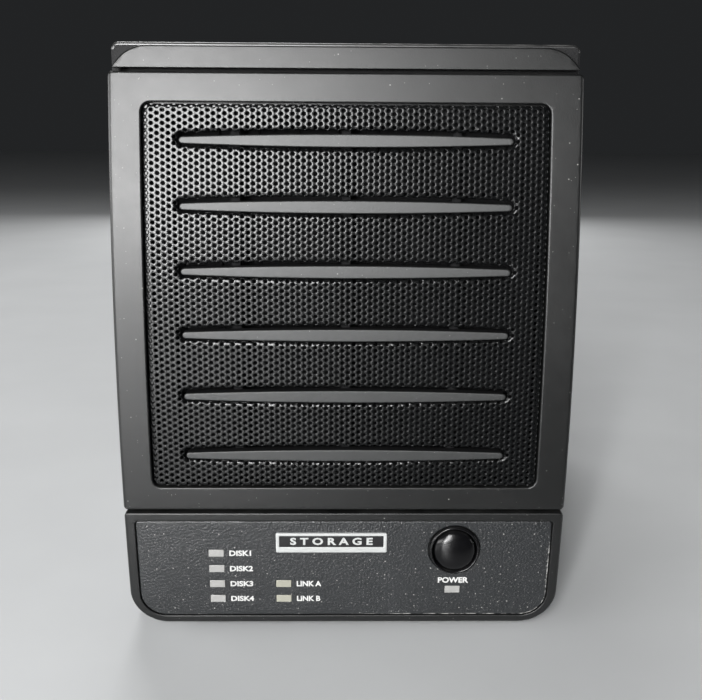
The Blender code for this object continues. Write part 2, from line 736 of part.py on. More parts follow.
def front_bezel():
    """Control section and top strip with convex faces, on a flat frame round the bays."""
    middle = (FRAME_FRONT + BEZEL_BACK) / 2
    profile = (
        arc_profile(BEZEL_Z, LOWER_TOP, 0)
        + [(FRAME_FRONT, LOWER_TOP), (FRAME_FRONT, STRIP_LO)]
        + arc_profile(STRIP_LO, BEZEL_TOP, 0)
        + [(middle, BEZEL_TOP), (middle, BEZEL_Z)]
    )
    outline = rounded(
        -HALF_W, HALF_W, BEZEL_Z, BEZEL_TOP, (BOTTOM_R, BOTTOM_R, TOP_R, TOP_R), 10
    )
    shoulders = rounded(
        -HALF_W, HALF_W, BEZEL_Z, FRAME_TOP, (BOTTOM_R, BOTTOM_R, FRAME_TOP_R, FRAME_TOP_R), 10
    )
    bezel = common(prism(profile, -HALF_W - 1, HALF_W + 1, "X"), through_front(outline))
    bezel = join(bezel, prism(shoulders, FRAME_FRONT, BEZEL_BACK, "Y"))

    recess = common(through_front(panel_outline(0)), front_layer(-4, 1.3))
    cavity_outline = rounded(
        -HALF_W + 6, HALF_W - 6, BEZEL_Z + 3.1, LOWER_TOP - 2.3, (8.0, 8.0, 1.0, 1.0), 4
    )
    cavity = common(
        front_solid(BEZEL_Z + 2.0, LOWER_TOP - 1.0, 4.0, BEZEL_BACK + 5),
        through_front(cavity_outline),
    )
    bay_hole = through_front(rounded(-53.7, 53.7, BEZEL_Z + 40.6, BEZEL_Z + 157.4, 0.4, 2))
    bezel = cut(
        bezel,
        recess,
        cavity,
        light_holes(0.15),
        button_hole(7.05),
        bay_hole,
        pin_disc(PIN_R + 0.15, LOWER_TOP - 4.3, STRIP_LO + 1.5),
        magnet_box(GAP, FRAME_FRONT - 1, FRAME_FRONT + 2.3),
    )
    piece("front_bezel", bezel, BLACK_ABS)


def control_panel():
    overlay = common(through_front(panel_outline(GAP)), front_layer(0.3, 1.0))
    overlay = cut(overlay, light_holes(0.1), button_hole(7.7))
    piece("control_panel_overlay", overlay, CHARCOAL)

    for name, x, z in LIGHTS:
        pipe = centred_box((x, z), LIGHT_HALF_W, LIGHT_HALF_H, facet_y(z) + 0.2, LIGHT_BACK)
        piece(name, pipe, AMBER_MILKY if name.startswith("link") else MILKY)


def nameplate():
    """A bright raised border round a sunken field."""
    outline = centred_outline(BADGE, BADGE_HALF_W, BADGE_HALF_H, 0.3, 2)
    plate = common(through_front(outline), front_layer(-0.7, 0.15))
    field_half = BADGE_HALF_W - 0.9
    z_lo, z_hi = BADGE_Z - BADGE_HALF_H + 1.35, BADGE_Z + BADGE_HALF_H - 0.75
    field = common(
        box(BADGE_X - field_half, BADGE_X + field_half, -130, -60, z_lo, z_hi),
        front_layer(-4, -0.3),
    )
    piece("nameplate", cut(plate, field), CHROME)


# section of the ring round the power button: radius, y behind the convex front
BUTTON_RING = [
    (6.8, 4.0), (6.8, 0), (7.35, 0), (7.35, -0.9),
    (7.0, -1.3), (6.65, -1.2), (6.4, -0.8), (6.4, 4.0),
]


def power_button():
    """Fixed ring, domed cap that slides in, and the switch behind it."""
    face = facet_y(BUTTON_Z)
    ring = turned(shifted(BUTTON_RING, (0, face)), BUTTON, 32)
    piece("power_button_ring", ring, GLOSS_BLACK, smooth=True)

    tip, cap_r, dome_depth, steps = face - 2.6, 6.1, 1.9, 5
    stem_r, stem_end = 2.0, -101.0
    profile = [(0.0, tip)]
    for i in range(1, steps + 1):
        angle = math.radians(90 * i / steps)
        profile.append((cap_r * math.sin(angle), tip + dome_depth * (1 - math.cos(angle))))
    profile += [(cap_r, face + 3.0), (stem_r, face + 3.0), (stem_r, stem_end), (0.0, stem_end)]
    cap = turned(profile, BUTTON, 32)
    piece("power_button", cap, GLOSS_BLACK, origin=(BUTTON_X, face, BUTTON_Z), smooth=True)

    switch = join(
        centred_box(BUTTON, 3, 3, -98.0, LIGHT_BACK),
        prism(disc(*BUTTON, 1.7, 12), -99.6, -97.0, "Y"),
    )
    piece("power_switch", switch, BLACK_ABS)


def front_circuit_board():
    """Board with two holes near its top corners and two blocks on its back."""
    holes = [prism(disc(x, BEZEL_Z + 29.0, 1.6, 12), -100, -80, "Y") for x in (-50, 50)]
    board = cut(
        box(-54, 54, BOARD_FRONT, BOARD_BACK, BEZEL_Z + 8.0, BEZEL_Z + 33.0), together(*holes)
    )
    blocks = [
        box(-44, -34, BOARD_BACK - 0.2, -91.6, BEZEL_Z + 12, BEZEL_Z + 22),
        box(-20, -10, BOARD_BACK - 0.2, -91.8, BEZEL_Z + 14, BEZEL_Z + 20),
    ]
    piece("front_circuit_board", join(board, *blocks), BOARD)


def door_magnet():
    piece("door_magnet", magnet_box(0, FRAME_FRONT, FRAME_FRONT + 2.0), STEEL)


# ------------------------------------------------------------------ door
def opening_outline(inset, radius, steps=4):
    """Outline of the door's opening, drawn in by inset."""
    half = OPEN_HALF - inset
    return rounded(-half, half, OPEN_LO + inset, OPEN_HI - inset, radius, steps)


def fin_outline(i, grow=0.0):
    """Lens-shaped outline of fin i, counted from the top, with rounded tips."""
    tip_r = (FIN_T - FIN_TAPER) / 2
    reach = FIN_HALF - tip_r
    steps = 12
    half = []
    for j in range(steps + 1):
        x = reach - 2 * reach * j / steps
        half.append((x, (FIN_T - FIN_TAPER * (x / reach) ** 2) / 2 + grow))
    for degrees in (135, 180, 225):
        angle = math.radians(degrees)
        half.append((-reach + (tip_r + grow) * math.cos(angle), (tip_r + grow) * math.sin(angle)))
    outline = half + [(-x, -z) for x, z in half]
    return shifted(outline, (0, FIN_FIRST - FIN_PITCH * i))


def door_hinge():
    """Empty on the axis of the pins, which turns the door's pieces."""
    empty = bpy.data.objects.new("door_hinge_axis", None)
    empty.empty_display_size = 0.01
    empty.location = Vector(HINGE) * MM
    bpy.context.scene.collection.objects.link(empty)
    return empty


def door_frame(hinge):
    outline = rounded(-HALF_W, HALF_W, DOOR_LO, DOOR_HI, (1.0, 1.0, 0.6, 0.6), 3)
    block = front_solid(DOOR_LO, DOOR_HI, 0, DOOR_BACK, -HALF_W - 1, HALF_W + 1)
    # the back edge beside the pins is round about them, so that it clears the bezel as it turns
    swing = HALF_W + PIN_X
    corner = [
        (PIN_X, PIN_Y + swing + 3), (-HALF_W - 3, PIN_Y + swing + 3), (-HALF_W - 3, PIN_Y),
    ]
    for i in range(9):
        angle = math.radians(90 * i / 8)
        corner.append((PIN_X - swing * math.cos(angle), PIN_Y + swing * math.sin(angle)))
    holes = together(
        pin_disc(PIN_R + 0.15, DOOR_LO - 2, DOOR_LO + 6),
        pin_disc(PIN_R + 0.15, DOOR_HI - 6, DOOR_HI + 2),
        magnet_box(GAP, DOOR_BACK - 1.4, DOOR_BACK + 3),
    )
    frame = cut(
        common(block, through_front(outline)),
        prism(opening_outline(0, 2.5), -130, LEDGE_Y, "Y"),
        through_front(opening_outline(3, 2)),
        prism(corner, 0, 200, "Z"),
        holes,
    )
    piece("door_frame", frame, BLACK_ABS, origin=HINGE, parent=hinge)


def hinge_pins():
    lower = pin_disc(PIN_R, LOWER_TOP - 4.0, DOOR_LO + 5.7)
    piece("hinge_pin_lower", lower, STEEL, smooth=True)
    upper = pin_disc(PIN_R, DOOR_HI - 5.7, STRIP_LO + 1.2)
    piece("hinge_pin_upper", upper, STEEL, smooth=True)


def door_strike(hinge):
    strike = magnet_box(0, DOOR_BACK - 1.1, DOOR_BACK - 0.1)
    piece("door_strike", strike, STEEL, origin=HINGE, parent=hinge)


def door_mesh(hinge):
    """Dished sheet: the face follows the convex front and its rim turns back into the door."""
    lo, hi = OPEN_LO + MESH_GAP - 1, OPEN_HI - MESH_GAP + 1
    outer = common(
        through_front(opening_outline(MESH_GAP, 2.0)),
        front_solid(lo, hi, 0.2, LEDGE_Y - GAP),
    )
    hollow = common(
        through_front(opening_outline(MESH_GAP + MESH_SHEET, 1.2)),
        front_solid(lo, hi, 0.2 + MESH_SHEET, LEDGE_Y + 5),
    )
    slots = together(*[through_front(fin_outline(i, SLOT_GAP)) for i in range(FIN_COUNT)])
    piece("door_mesh", cut(outer, hollow, slots), PERFORATED, origin=HINGE, parent=hinge)


def door_fins(hinge):
    """Fins, carried by three ribs and a rectangular frame just ahead of the door's ledge."""
    fins = []
    for i in range(FIN_COUNT):
        fin = prism(fin_outline(i), APEX_Y - 5, APEX_Y + 20, "Y")
        for vert in fin.verts:
            offset = -FIN_PROUD if vert.co.y < APEX_Y else FIN_DEPTH
            vert.co.y = facet_y(vert.co.z) + offset
        fins.append(fin)
    back = LEDGE_Y - GAP
    ribs = [
        front_solid(OPEN_LO + 3.5, OPEN_HI - 3.5, 1.6, back, x - 1.2, x + 1.2)
        for x in (-30.0, 0.0, 30.0)
    ]
    border = cut(
        prism(opening_outline(MESH_GAP + 1.3, 1.0, 2), back - 1.8, back, "Y"),
        through_front(opening_outline(MESH_GAP + 6, 1.0, 2)),
    )
    piece("door_fins", join(border, *ribs, *fins), BLACK_ABS, origin=HINGE, parent=hinge)


def door():
    hinge = door_hinge()
    door_frame(hinge)
    hinge_pins()
    door_strike(hinge)
    door_mesh(hinge)
    door_fins(hinge)


for build in (
    casing_cover, chassis_base, cover_screws, feet,
    rear_panel, fan_frame, fan_rotor, fan_guard, fan_screws, power_inlet, rocker_switch, ports,
    drive_cage, drives, backplane_board, power_supply, main_board, cables,
    front_bezel, control_panel, nameplate, power_button, front_circuit_board, door_magnet,
    door,
):
    build()
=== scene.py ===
"""Looks for a four-bay desktop storage enclosure: smooth mouldings, a perforated door sheet with
fins, a printed control panel and procedural finishes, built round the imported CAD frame.

X runs from left to right across the front, Y from the front to the back, and Z upwards. The case is
centred on X = 0, stands on the floor at Z = 0 and has its door hinged on the left. Lengths are in
millimetres unless a comment says otherwise, and are scaled to metres as each mesh is made.
"""

import json
import math
from functools import reduce

import bmesh
import bpy
import numpy as np
from mathutils import Matrix, Vector
from mathutils.geometry import delaunay_2d_cdt


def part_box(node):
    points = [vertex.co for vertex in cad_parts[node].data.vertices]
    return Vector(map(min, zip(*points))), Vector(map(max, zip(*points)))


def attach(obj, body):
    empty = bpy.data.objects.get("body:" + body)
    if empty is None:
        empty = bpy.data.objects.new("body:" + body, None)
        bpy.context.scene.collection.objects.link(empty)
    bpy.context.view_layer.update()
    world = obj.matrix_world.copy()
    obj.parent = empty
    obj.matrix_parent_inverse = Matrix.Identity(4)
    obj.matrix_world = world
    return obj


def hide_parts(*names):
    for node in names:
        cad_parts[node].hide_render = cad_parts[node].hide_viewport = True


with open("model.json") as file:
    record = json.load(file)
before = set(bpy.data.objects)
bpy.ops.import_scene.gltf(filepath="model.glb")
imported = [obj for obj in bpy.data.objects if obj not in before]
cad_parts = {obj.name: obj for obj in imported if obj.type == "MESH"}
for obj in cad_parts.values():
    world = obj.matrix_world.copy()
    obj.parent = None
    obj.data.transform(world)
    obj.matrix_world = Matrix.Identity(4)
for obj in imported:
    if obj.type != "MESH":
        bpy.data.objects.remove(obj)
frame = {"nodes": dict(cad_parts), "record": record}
NODES = frame["nodes"]
BODY = {n: b for b, names in frame["record"]["behaviour"]["bodies"].items() for n in names}
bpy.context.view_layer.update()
MM = 0.001


def mm(node):
    """Lowest and highest corner of a CAD node in millimetres."""
    low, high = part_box(node)
    return [c / MM for c in low], [c / MM for c in high]


def middle(node):
    """Centre of a CAD node's box in millimetres."""
    return [(low + high) / 2 for low, high in zip(*mm(node))]


# ------------------------------------------------------------------ sizes from the frame
(_, _, BASE_Z), (HALF_W, BACK_Y, FRAME_TOP) = mm("front_bezel")
(_, APEX_Y, DOOR_LO), (_, DOOR_BACK, DOOR_HI) = mm("door_frame")
(_, _, SHEET_LO), (SHEET_HALF, SHEET_BACK, SHEET_HI) = mm("door_mesh")
(_, _, FILM_LO), (FILM_HALF, _, FILM_HI) = mm("control_panel_overlay")

# the front bulges in an arc that is the same right across the width
ARC_R = 430.0
ARC_Z = BASE_Z + 83.5

LOWER_TOP = DOOR_LO - 1.1        # top of the bezel's section below the door
STRIP_LO = DOOR_HI + 1.0         # bezel strip above the door
STRIP_HI = BASE_Z + 167.2
FRAME_FRONT = DOOR_BACK + 0.5    # front of the flat frame behind the door
JOINT_Y = FRAME_FRONT + 2.0      # how far back the curved bezel parts reach into the frame
PIN_X, PIN_Y = middle("hinge_pin_lower")[0], -97.7
PIN_BORE_R = 1.15

FILM_CORNER = 7.5
FILM_DEPTH = 0.3                 # depths count back from the curved front surface
FIELD_DEPTH = 1.3
PANEL_WALL = 4.0

PITCH = 1.744                    # distance between neighbouring holes of the sheet
HOLE_R = 0.52
HOLE_SIDES = 10
BEND_R, THICK = 0.95, 0.8        # bent edges and thickness of the sheet
LIP = 0.13                       # rounded lip of every cut edge
RIM_DEPTH = 1.25                 # where the turned-back rim starts

FIN_ROWS = [SHEET_HI - 9.4 - 10 * PITCH * k for k in range(6)]
FIN_REACH, FIN_T, FIN_TAPER = 44.7, 3.35, 1.6    # half length, thickness and its loss at the tips
FIN_DEPTH = -0.3                 # the fins stand proud of the front
FIN_STEPS = 60
SLOT_UP, SLOT_GROW = 0.26, 0.78  # a slot is a raised and widened fin

# boxes are (x0, x1, z0, z1)
LOWER_BOX = (-HALF_W, HALF_W, BASE_Z, LOWER_TOP)
DOOR_BOX = (-HALF_W, HALF_W, DOOR_LO, DOOR_HI)
SHEET_BOX = (-SHEET_HALF, SHEET_HALF, SHEET_LO, SHEET_HI)
OPEN_HALF, OPEN_LO, OPEN_HI = SHEET_HALF + 0.5, SHEET_LO - 0.5, SHEET_HI + 0.5
OPEN_BOX = (-OPEN_HALF, OPEN_HALF, OPEN_LO, OPEN_HI)
FILM_BOX = (-FILM_HALF, FILM_HALF, FILM_LO, FILM_HI)
CAVITY_BOX = (-HALF_W + 6, HALF_W - 6, BASE_Z + 3.1, LOWER_TOP - 2.3)
BAY_BOX = (-53.7, 53.7, BASE_Z + 40.6, BASE_Z + 157.4)
POCKET_BOX = (55.3, 61.9, 96.7, 109.3)

WHOLE = 500.0    # longer than any side, so that straight sides stay uncut


def front_y(z):
    """y of the convex front at height z."""
    return APEX_Y + ARC_R - np.sqrt(ARC_R**2 - (np.asarray(z, float) - ARC_Z) ** 2)


# ------------------------------------------------------------------ outlines
def round_rect(box, radii, inset=0.0, side=3.0, steps=8):
    """Counter-clockwise rounded box. The radii start at the low left corner and may be one number;
    straight sides are cut into lengths of at most `side`."""
    x0, x1, z0, z1 = box[0] + inset, box[1] - inset, box[2] + inset, box[3] - inset
    corners = ((x0, z0, 180), (x1, z0, 270), (x1, z1, 0), (x0, z1, 90))
    arcs = []
    for (corner_x, corner_z, start), r in zip(corners, np.broadcast_to(radii, 4)):
        centre_x = corner_x + r if corner_x == x0 else corner_x - r
        centre_z = corner_z + r if corner_z == z0 else corner_z - r
        angles = [math.radians(start + 90 * i / steps) for i in range(steps + 1)]
        arcs.append([(centre_x + r * math.cos(a), centre_z + r * math.sin(a)) for a in angles])
    points = []
    for k in range(4):
        points += arcs[k]
        a, b = arcs[k][-1], arcs[(k + 1) % 4][0]
        n = max(1, math.ceil(math.dist(a, b) / side))
        points += [
            (a[0] + (b[0] - a[0]) * i / n, a[1] + (b[1] - a[1]) * i / n) for i in range(1, n)
        ]
    return np.array(points)


def circle(centre_x, centre_z, radius, count, phase=0.0):
    angles = phase + 2 * np.pi * np.arange(count) / count
    return np.stack([centre_x + radius * np.cos(angles), centre_z + radius * np.sin(angles)], 1)


def lens(centre_z, grow=0.0):
    """Outline of one fin, with rounded tips."""
    tip = (FIN_T - FIN_TAPER) / 2 + grow
    reach = FIN_REACH - (FIN_T - FIN_TAPER) / 2
    x = reach - 2 * reach * np.arange(FIN_STEPS + 1) / FIN_STEPS
    top = np.stack([x, (FIN_T - FIN_TAPER * (x / reach) ** 2) / 2 + grow], 1)
    angles = np.radians(90 + 180 * np.arange(1, 8) / 8)
    left = np.stack([-reach + tip * np.cos(angles), tip * np.sin(angles)], 1)
    half = np.concatenate([top, left])
    return np.concatenate([half, -half]) + np.array([0.0, centre_z])


def normals(points):
    """Outward normals of a counter-clockwise outline, and how much a mitred corner stretches."""
    along = np.roll(points, -1, 0) - points
    length = np.maximum(np.linalg.norm(along, axis=1), 1e-9)
    out = np.stack([along[:, 1], -along[:, 0]], 1) / length[:, None]
    mean = np.roll(out, 1, 0) + out
    mean /= np.maximum(np.linalg.norm(mean, axis=1), 1e-9)[:, None]
    return mean, 1 / np.maximum((mean * out).sum(1), 0.6)


def rounding(points, radius, steps=5, hole=False):
    """(outline, extra depth) of each ring of a rounded edge, from the face to the side wall."""
    normal, stretch = normals(points)
    radius = np.asarray(radius(normal) if callable(radius) else radius, float)
    radius = np.broadcast_to(radius, (len(points),))
    rings = []
    for k in range(steps + 1):
        a = math.pi / 2 * k / steps
        move = radius * (1 - math.sin(a)) * stretch
        outline = points + (normal if hole else -normal) * move[:, None]
        rings.append((outline, radius * (1 - math.cos(a))))
    return rings


def edge_radius(side, top, bottom):
    """Edge radius that changes smoothly with the normal between the sides, top and bottom."""

    def radius(normal):
        upright = np.where(normal[:, 1] > 0, top, bottom)
        return np.sqrt((normal[:, 0] * side) ** 2 + (upright * normal[:, 1]) ** 2)

    return radius


def constraints(loops, start=0):
    """Edges and faces of closed loops whose points are numbered on from `start`."""
    edges, faces = [], []
    for loop in loops:
        n = len(loop)
        edges += [(start + i, start + (i + 1) % n) for i in range(n)]
        faces.append([start + i for i in range(n)])
        start += n
    return edges, faces


# ------------------------------------------------------------------ closed shells
def curved(depth):
    return lambda z: front_y(z) + depth


def level(y):
    return lambda z: y


class Shell:
    """A closed mesh made of bands between matching rings, and caps over rings with holes."""

    def __init__(self):
        self.points, self.faces = [], []

    def ring(self, outline, y):
        y = np.broadcast_to(np.asarray(y, float), (len(outline),))
        first = len(self.points)
        self.points += [(float(p[0]), float(d), float(p[1])) for p, d in zip(outline, y)]
        return list(range(first, len(self.points)))

    def on_front(self, outline, depth):
        return self.ring(outline, front_y(outline[:, 1]) + depth)

    def edge(self, outline, radius, depth=0.0, steps=5, hole=False):
        """Rings of a rounded edge of the convex face that lies `depth` behind the front."""
        return [self.on_front(o, depth + d) for o, d in rounding(outline, radius, steps, hole)]

    def flat_edge(self, outline, radius, y, steps, hole=False):
        """Rings of a rounded edge of a flat face at y."""
        return [self.ring(o, y + d) for o, d in rounding(outline, radius, steps, hole)]

    def bands(self, rings):
        for a, b in zip(rings, rings[1:]):
            n = len(a)
            self.faces += [(a[i], a[(i + 1) % n], b[(i + 1) % n], b[i]) for i in range(n)]

    def cap(self, outer, holes, y_of, grid=None):
        """Fill `outer` round the holes; a grid spacing (x, z) adds points that follow y_of."""
        loops = [outer, *holes]
        index = [i for loop in loops for i in loop]
        plan = np.array([(self.points[i][0], self.points[i][2]) for i in index])
        edges, faces = constraints(loops)
        extra = np.zeros((0, 2))
        if grid:
            low, high = plan[: len(outer)].min(0), plan[: len(outer)].max(0)
            xs = np.arange(low[0] + grid[0] / 2, high[0], grid[0])
            zs = np.arange(low[1] + grid[1] / 2, high[1], grid[1])
            inner = np.stack(np.meshgrid(xs, zs), -1).reshape(-1, 2)
            clear = np.ones(len(inner), bool)
            for k in range(0, len(inner), 500):
                squared = ((inner[k : k + 500, None] - plan[None]) ** 2).sum(-1).min(1)
                clear[k : k + 500] = squared > (0.35 * grid[1]) ** 2
            extra = inner[clear]
        points = [Vector(p) for p in np.concatenate([plan, extra])]
        verts, _, tris, from_verts, _, from_faces = delaunay_2d_cdt(
            points, edges, faces, 0, 1e-6, True
        )
        number = {}
        for tri, source in zip(tris, from_faces):
            if 0 not in source or any(s > 0 for s in source):
                continue
            made = []
            for v in tri:
                if v not in number:
                    known = [i for i in from_verts[v] if i < len(index)]
                    if known:
                        number[v] = index[known[0]]
                    else:
                        x, z = verts[v]
                        number[v] = len(self.points)
                        self.points.append((x, float(y_of(z)), z))
                made.append(number[v])
            if len(set(made)) == len(made):
                self.faces.append(tuple(made))

    def mesh(self):
        bm = bmesh.new()
        verts = [bm.verts.new(p) for p in self.points]
        for face in self.faces:
            # a face that is already there, or repeats a corner, is refused
            try:
                bm.faces.new([verts[i] for i in face])
            except ValueError:
                pass
        loose = [v for v in bm.verts if not v.link_faces]
        bmesh.ops.delete(bm, geom=loose, context="VERTS")
        bmesh.ops.recalc_face_normals(bm, faces=bm.faces)
        return bm


# ------------------------------------------------------------------ solids
AXIS_ORDER = {
    "X": lambda u, v, along: (along, u, v),
    "Y": lambda u, v, along: (u, along, v),
    "Z": lambda u, v, along: (u, v, along),
}


def prism(points, start, end, axis):
    """A closed prism. The points are (y, z) for axis X, (x, z) for Y and (x, y) for Z."""
    bm = bmesh.new()
    order = AXIS_ORDER[axis]
    first, last = ([bm.verts.new(order(u, v, at)) for u, v in points] for at in (start, end))
    bm.faces.new(first)
    bm.faces.new(last[::-1])
    n = len(points)
    for i in range(n):
        j = (i + 1) % n
        bm.faces.new((first[i], last[i], last[j], first[j]))
    bmesh.ops.recalc_face_normals(bm, faces=bm.faces)
    return bm


def turned(profile, centre, count):
    """A solid turned about a line along Y through centre (x, z); the profile is (radius, y). It is
    closed into a ring unless it starts on the line."""
    bm = bmesh.new()
    centre_x, centre_z = centre
    rings = []
    for radius, y in profile:
        if radius < 1e-6:
            rings.append([bm.verts.new((centre_x, y, centre_z))])
            continue
        angles = [2 * math.pi * i / count for i in range(count)]
        rings.append([
            bm.verts.new((centre_x + radius * math.cos(a), y, centre_z + radius * math.sin(a)))
            for a in angles
        ])
    pairs = list(zip(rings, rings[1:]))
    if len(rings[0]) > 1:
        pairs.append((rings[-1], rings[0]))
    for a, b in pairs:
        for i in range(count):
            j = (i + 1) % count
            if len(a) == 1:
                bm.faces.new((a[0], b[i], b[j]))
            elif len(b) == 1:
                bm.faces.new((a[i], b[0], a[j]))
            else:
                bm.faces.new((a[i], b[i], b[j], a[j]))
    bmesh.ops.recalc_face_normals(bm, faces=bm.faces)
    return bm


def together(*shapes):
    """One mesh holding the shapes side by side."""
    bm = bmesh.new()
    for shape in shapes:
        copy = {v: bm.verts.new(v.co) for v in shape.verts}
        for face in shape.faces:
            bm.faces.new([copy[v] for v in face.verts])
        shape.free()
    return bm


def temporary(bm):
    mesh = bpy.data.meshes.new("shape")
    bm.to_mesh(mesh)
    bm.free()
    obj = bpy.data.objects.new("shape", mesh)
    bpy.context.scene.collection.objects.link(obj)
    return obj


def boolean(base, tools, operation):
    target = temporary(base)
    helpers = [temporary(t) for t in tools]
    for helper in helpers:
        modifier = target.modifiers.new(operation, "BOOLEAN")
        modifier.operation = operation
        modifier.solver = "EXACT"
        modifier.object = helper
    bpy.context.view_layer.update()
    evaluated = target.evaluated_get(bpy.context.evaluated_depsgraph_get())
    result = bmesh.new()
    result.from_mesh(evaluated.to_mesh())
    evaluated.to_mesh_clear()
    for obj in (target, *helpers):
        mesh = obj.data
        bpy.data.objects.remove(obj, do_unlink=True)
        bpy.data.meshes.remove(mesh)
    bmesh.ops.remove_doubles(result, verts=result.verts, dist=1e-4)
    bmesh.ops.dissolve_degenerate(result, edges=result.edges, dist=1e-4)
    return result


def cut(base, *tools):
    return boolean(base, tools, "DIFFERENCE")


def join(base, *tools):
    return boolean(base, tools, "UNION")


def pin_bore(low, high):
    """Cutter for the hinge pin between two heights."""
    return prism(circle(PIN_X, PIN_Y, PIN_BORE_R, 24), low, high, "Z")


# ------------------------------------------------------------------ shader nodes
class Shading:
    """A new material, with short ways to make and link its nodes."""

    def __init__(self, name):
        self.material = bpy.data.materials.new(name)
        self.material.use_nodes = True
        self.tree = self.material.node_tree
        self.where = self.node("ShaderNodeTexCoord").outputs["Object"]

    def feed(self, socket, value):
        """Link an output to the socket, or set the socket's own value."""
        if isinstance(value, bpy.types.NodeSocket):
            self.tree.links.new(value, socket)
        else:
            socket.default_value = (*value, 1.0) if socket.type == "RGBA" else value

    def node(self, kind, **values):
        n = self.tree.nodes.new(kind)
        for key, value in values.items():
            if key in n.inputs:
                self.feed(n.inputs[key], value)
            else:
                setattr(n, key, value)
        return n

    def shader(self, **values):
        """Values of the surface, with _ for the spaces in their names."""
        surface = self.tree.nodes["Principled BSDF"]
        for key, value in values.items():
            self.feed(surface.inputs[key.replace("_", " ")], value)

    def maths(self, operation, a, b=None, clamp=False):
        n = self.node("ShaderNodeMath", operation=operation, use_clamp=clamp)
        self.feed(n.inputs[0], a)
        if b is not None:
            self.feed(n.inputs[1], b)
        return n.outputs[0]

    def add(self, a, b, clamp=False):
        return self.maths("ADD", a, b, clamp)

    def times(self, a, b, clamp=False):
        return self.maths("MULTIPLY", a, b, clamp)

    def vector(self, operation, a, b=None):
        n = self.node("ShaderNodeVectorMath", operation=operation)
        self.feed(n.inputs[0], a)
        if b is not None:
            self.feed(n.inputs[1], b)
        return n.outputs["Value" if operation == "LENGTH" else "Vector"]

    def span(self, value, low, high, at_low=0.0, at_high=1.0):
        """Map low..high to at_low..at_high, held at both ends."""
        ends = {"From Min": low, "From Max": high, "To Min": at_low, "To Max": at_high}
        return self.node("ShaderNodeMapRange", Value=value, **ends).outputs[0]

    def mix(self, share, a, b):
        n = self.node("ShaderNodeMix", data_type="RGBA")
        for slot, value in ((0, share), (6, a), (7, b)):
            self.feed(n.inputs[slot], value)
        return n.outputs[2]

    def noise(self, size, detail=2.0, source=None, rough=0.55):
        n = self.node("ShaderNodeTexNoise", Scale=1.0 / (size * MM), Detail=detail,
                      Roughness=rough, Vector=source or self.where)
        return n.outputs["Fac"]

    def cells(self, size, **values):
        """Distance from the middle of cells of this size, and three random numbers per cell."""
        values = {"Vector": self.where, **values}
        n = self.node("ShaderNodeTexVoronoi", Scale=1.0 / (size * MM), **values)
        return n.outputs["Distance"], n.outputs["Color"]

    def channels(self, colour):
        return self.node("ShaderNodeSeparateColor", Color=colour).outputs

    def xyz(self, vector):
        return self.node("ShaderNodeSeparateXYZ", Vector=vector).outputs

    def mapped(self, **values):
        return self.node("ShaderNodeMapping", Vector=self.where, **values).outputs[0]

    def normal(self):
        return self.xyz(self.node("ShaderNodeNewGeometry").outputs["Normal"])


# ------------------------------------------------------------------ deposits and relief
def front_grains(shade, share):
    """Dust grains, laid out on the front and gathered in patches."""
    plan = shade.mapped(Rotation=(math.pi / 2, 0, 0))
    seen = shade.span(shade.maths("ABSOLUTE", shade.normal()[1]), low=0.7, high=0.85)
    patch = shade.span(shade.noise(size=11.0, detail=3.0), low=0.35, high=0.7,
                       at_low=0.35, at_high=1.5)
    layers = []
    # cell size in mm, share of cells that hold a grain, grain radius in cells, strength
    for size, part, radius, strength in ((1.1, share, 0.13, 0.55), (2.3, share * 0.7, 0.10, 0.9)):
        distance, colour = shade.cells(size, voronoi_dimensions="2D", Vector=plan)
        random = shade.channels(colour)
        chosen = shade.maths("LESS_THAN", random[0], shade.times(patch, part))
        dot = shade.span(distance, low=radius, high=radius * 0.4)
        faint = shade.span(random[1], low=0.0, high=1.0, at_low=0.35 * strength, at_high=strength)
        grain = shade.times(shade.times(chosen, dot, clamp=True), faint)
        layers.append(shade.times(grain, seen, clamp=True))
    return layers


def even_grains(shade, share):
    """Dust grains spread over every side."""
    layers = []
    # cell size in mm, share, grain radius in cells
    for size, part, radius in ((1.7, share, 0.12), (4.5, share * 0.7, 0.07)):
        distance, colour = shade.cells(size)
        chosen = shade.maths("LESS_THAN", shade.channels(colour)[0], part * 3)
        dot = shade.span(distance, low=radius, high=radius * 0.45)
        layers.append(shade.times(shade.times(chosen, dot, clamp=True), 0.7))
    return layers


def painted_rim_highlight(shade, outline):
    """Painted highlight: a broken light line along a rounded outline (half width, low z, high z and
    corner radius in mm), standing in for light caught by its rim. It fades out towards the left and
    the top."""
    half, low, high, corner = (v * MM for v in outline)
    offset = shade.vector("SUBTRACT", shade.where, (0, 0, (low + high) / 2))
    plan = shade.vector("ABSOLUTE", shade.vector("MULTIPLY", offset, (1, 0, 1)))
    core = (half - corner, 0, (high - low) / 2 - corner)
    outside = shade.vector("MAXIMUM", shade.vector("SUBTRACT", plan, core), (0, 0, 0))
    away = shade.maths("SUBTRACT", shade.vector("LENGTH", outside), corner)
    # lengths in metres: the line runs 0.16 mm inside the outline
    line = shade.maths("ABSOLUTE", shade.add(away, 0.00016))
    near = shade.span(line, low=0.0002, high=0.00008)
    place = shade.xyz(shade.where)
    right = shade.span(place[0], low=0.002, high=0.02)
    below = shade.span(place[2], low=high - 0.004, high=high - 0.008)
    broken = shade.span(shade.noise(size=2.4, detail=4.0, rough=0.7), low=0.44, high=0.60)
    return shade.times(shade.times(shade.times(near, right), below), broken, clamp=True)


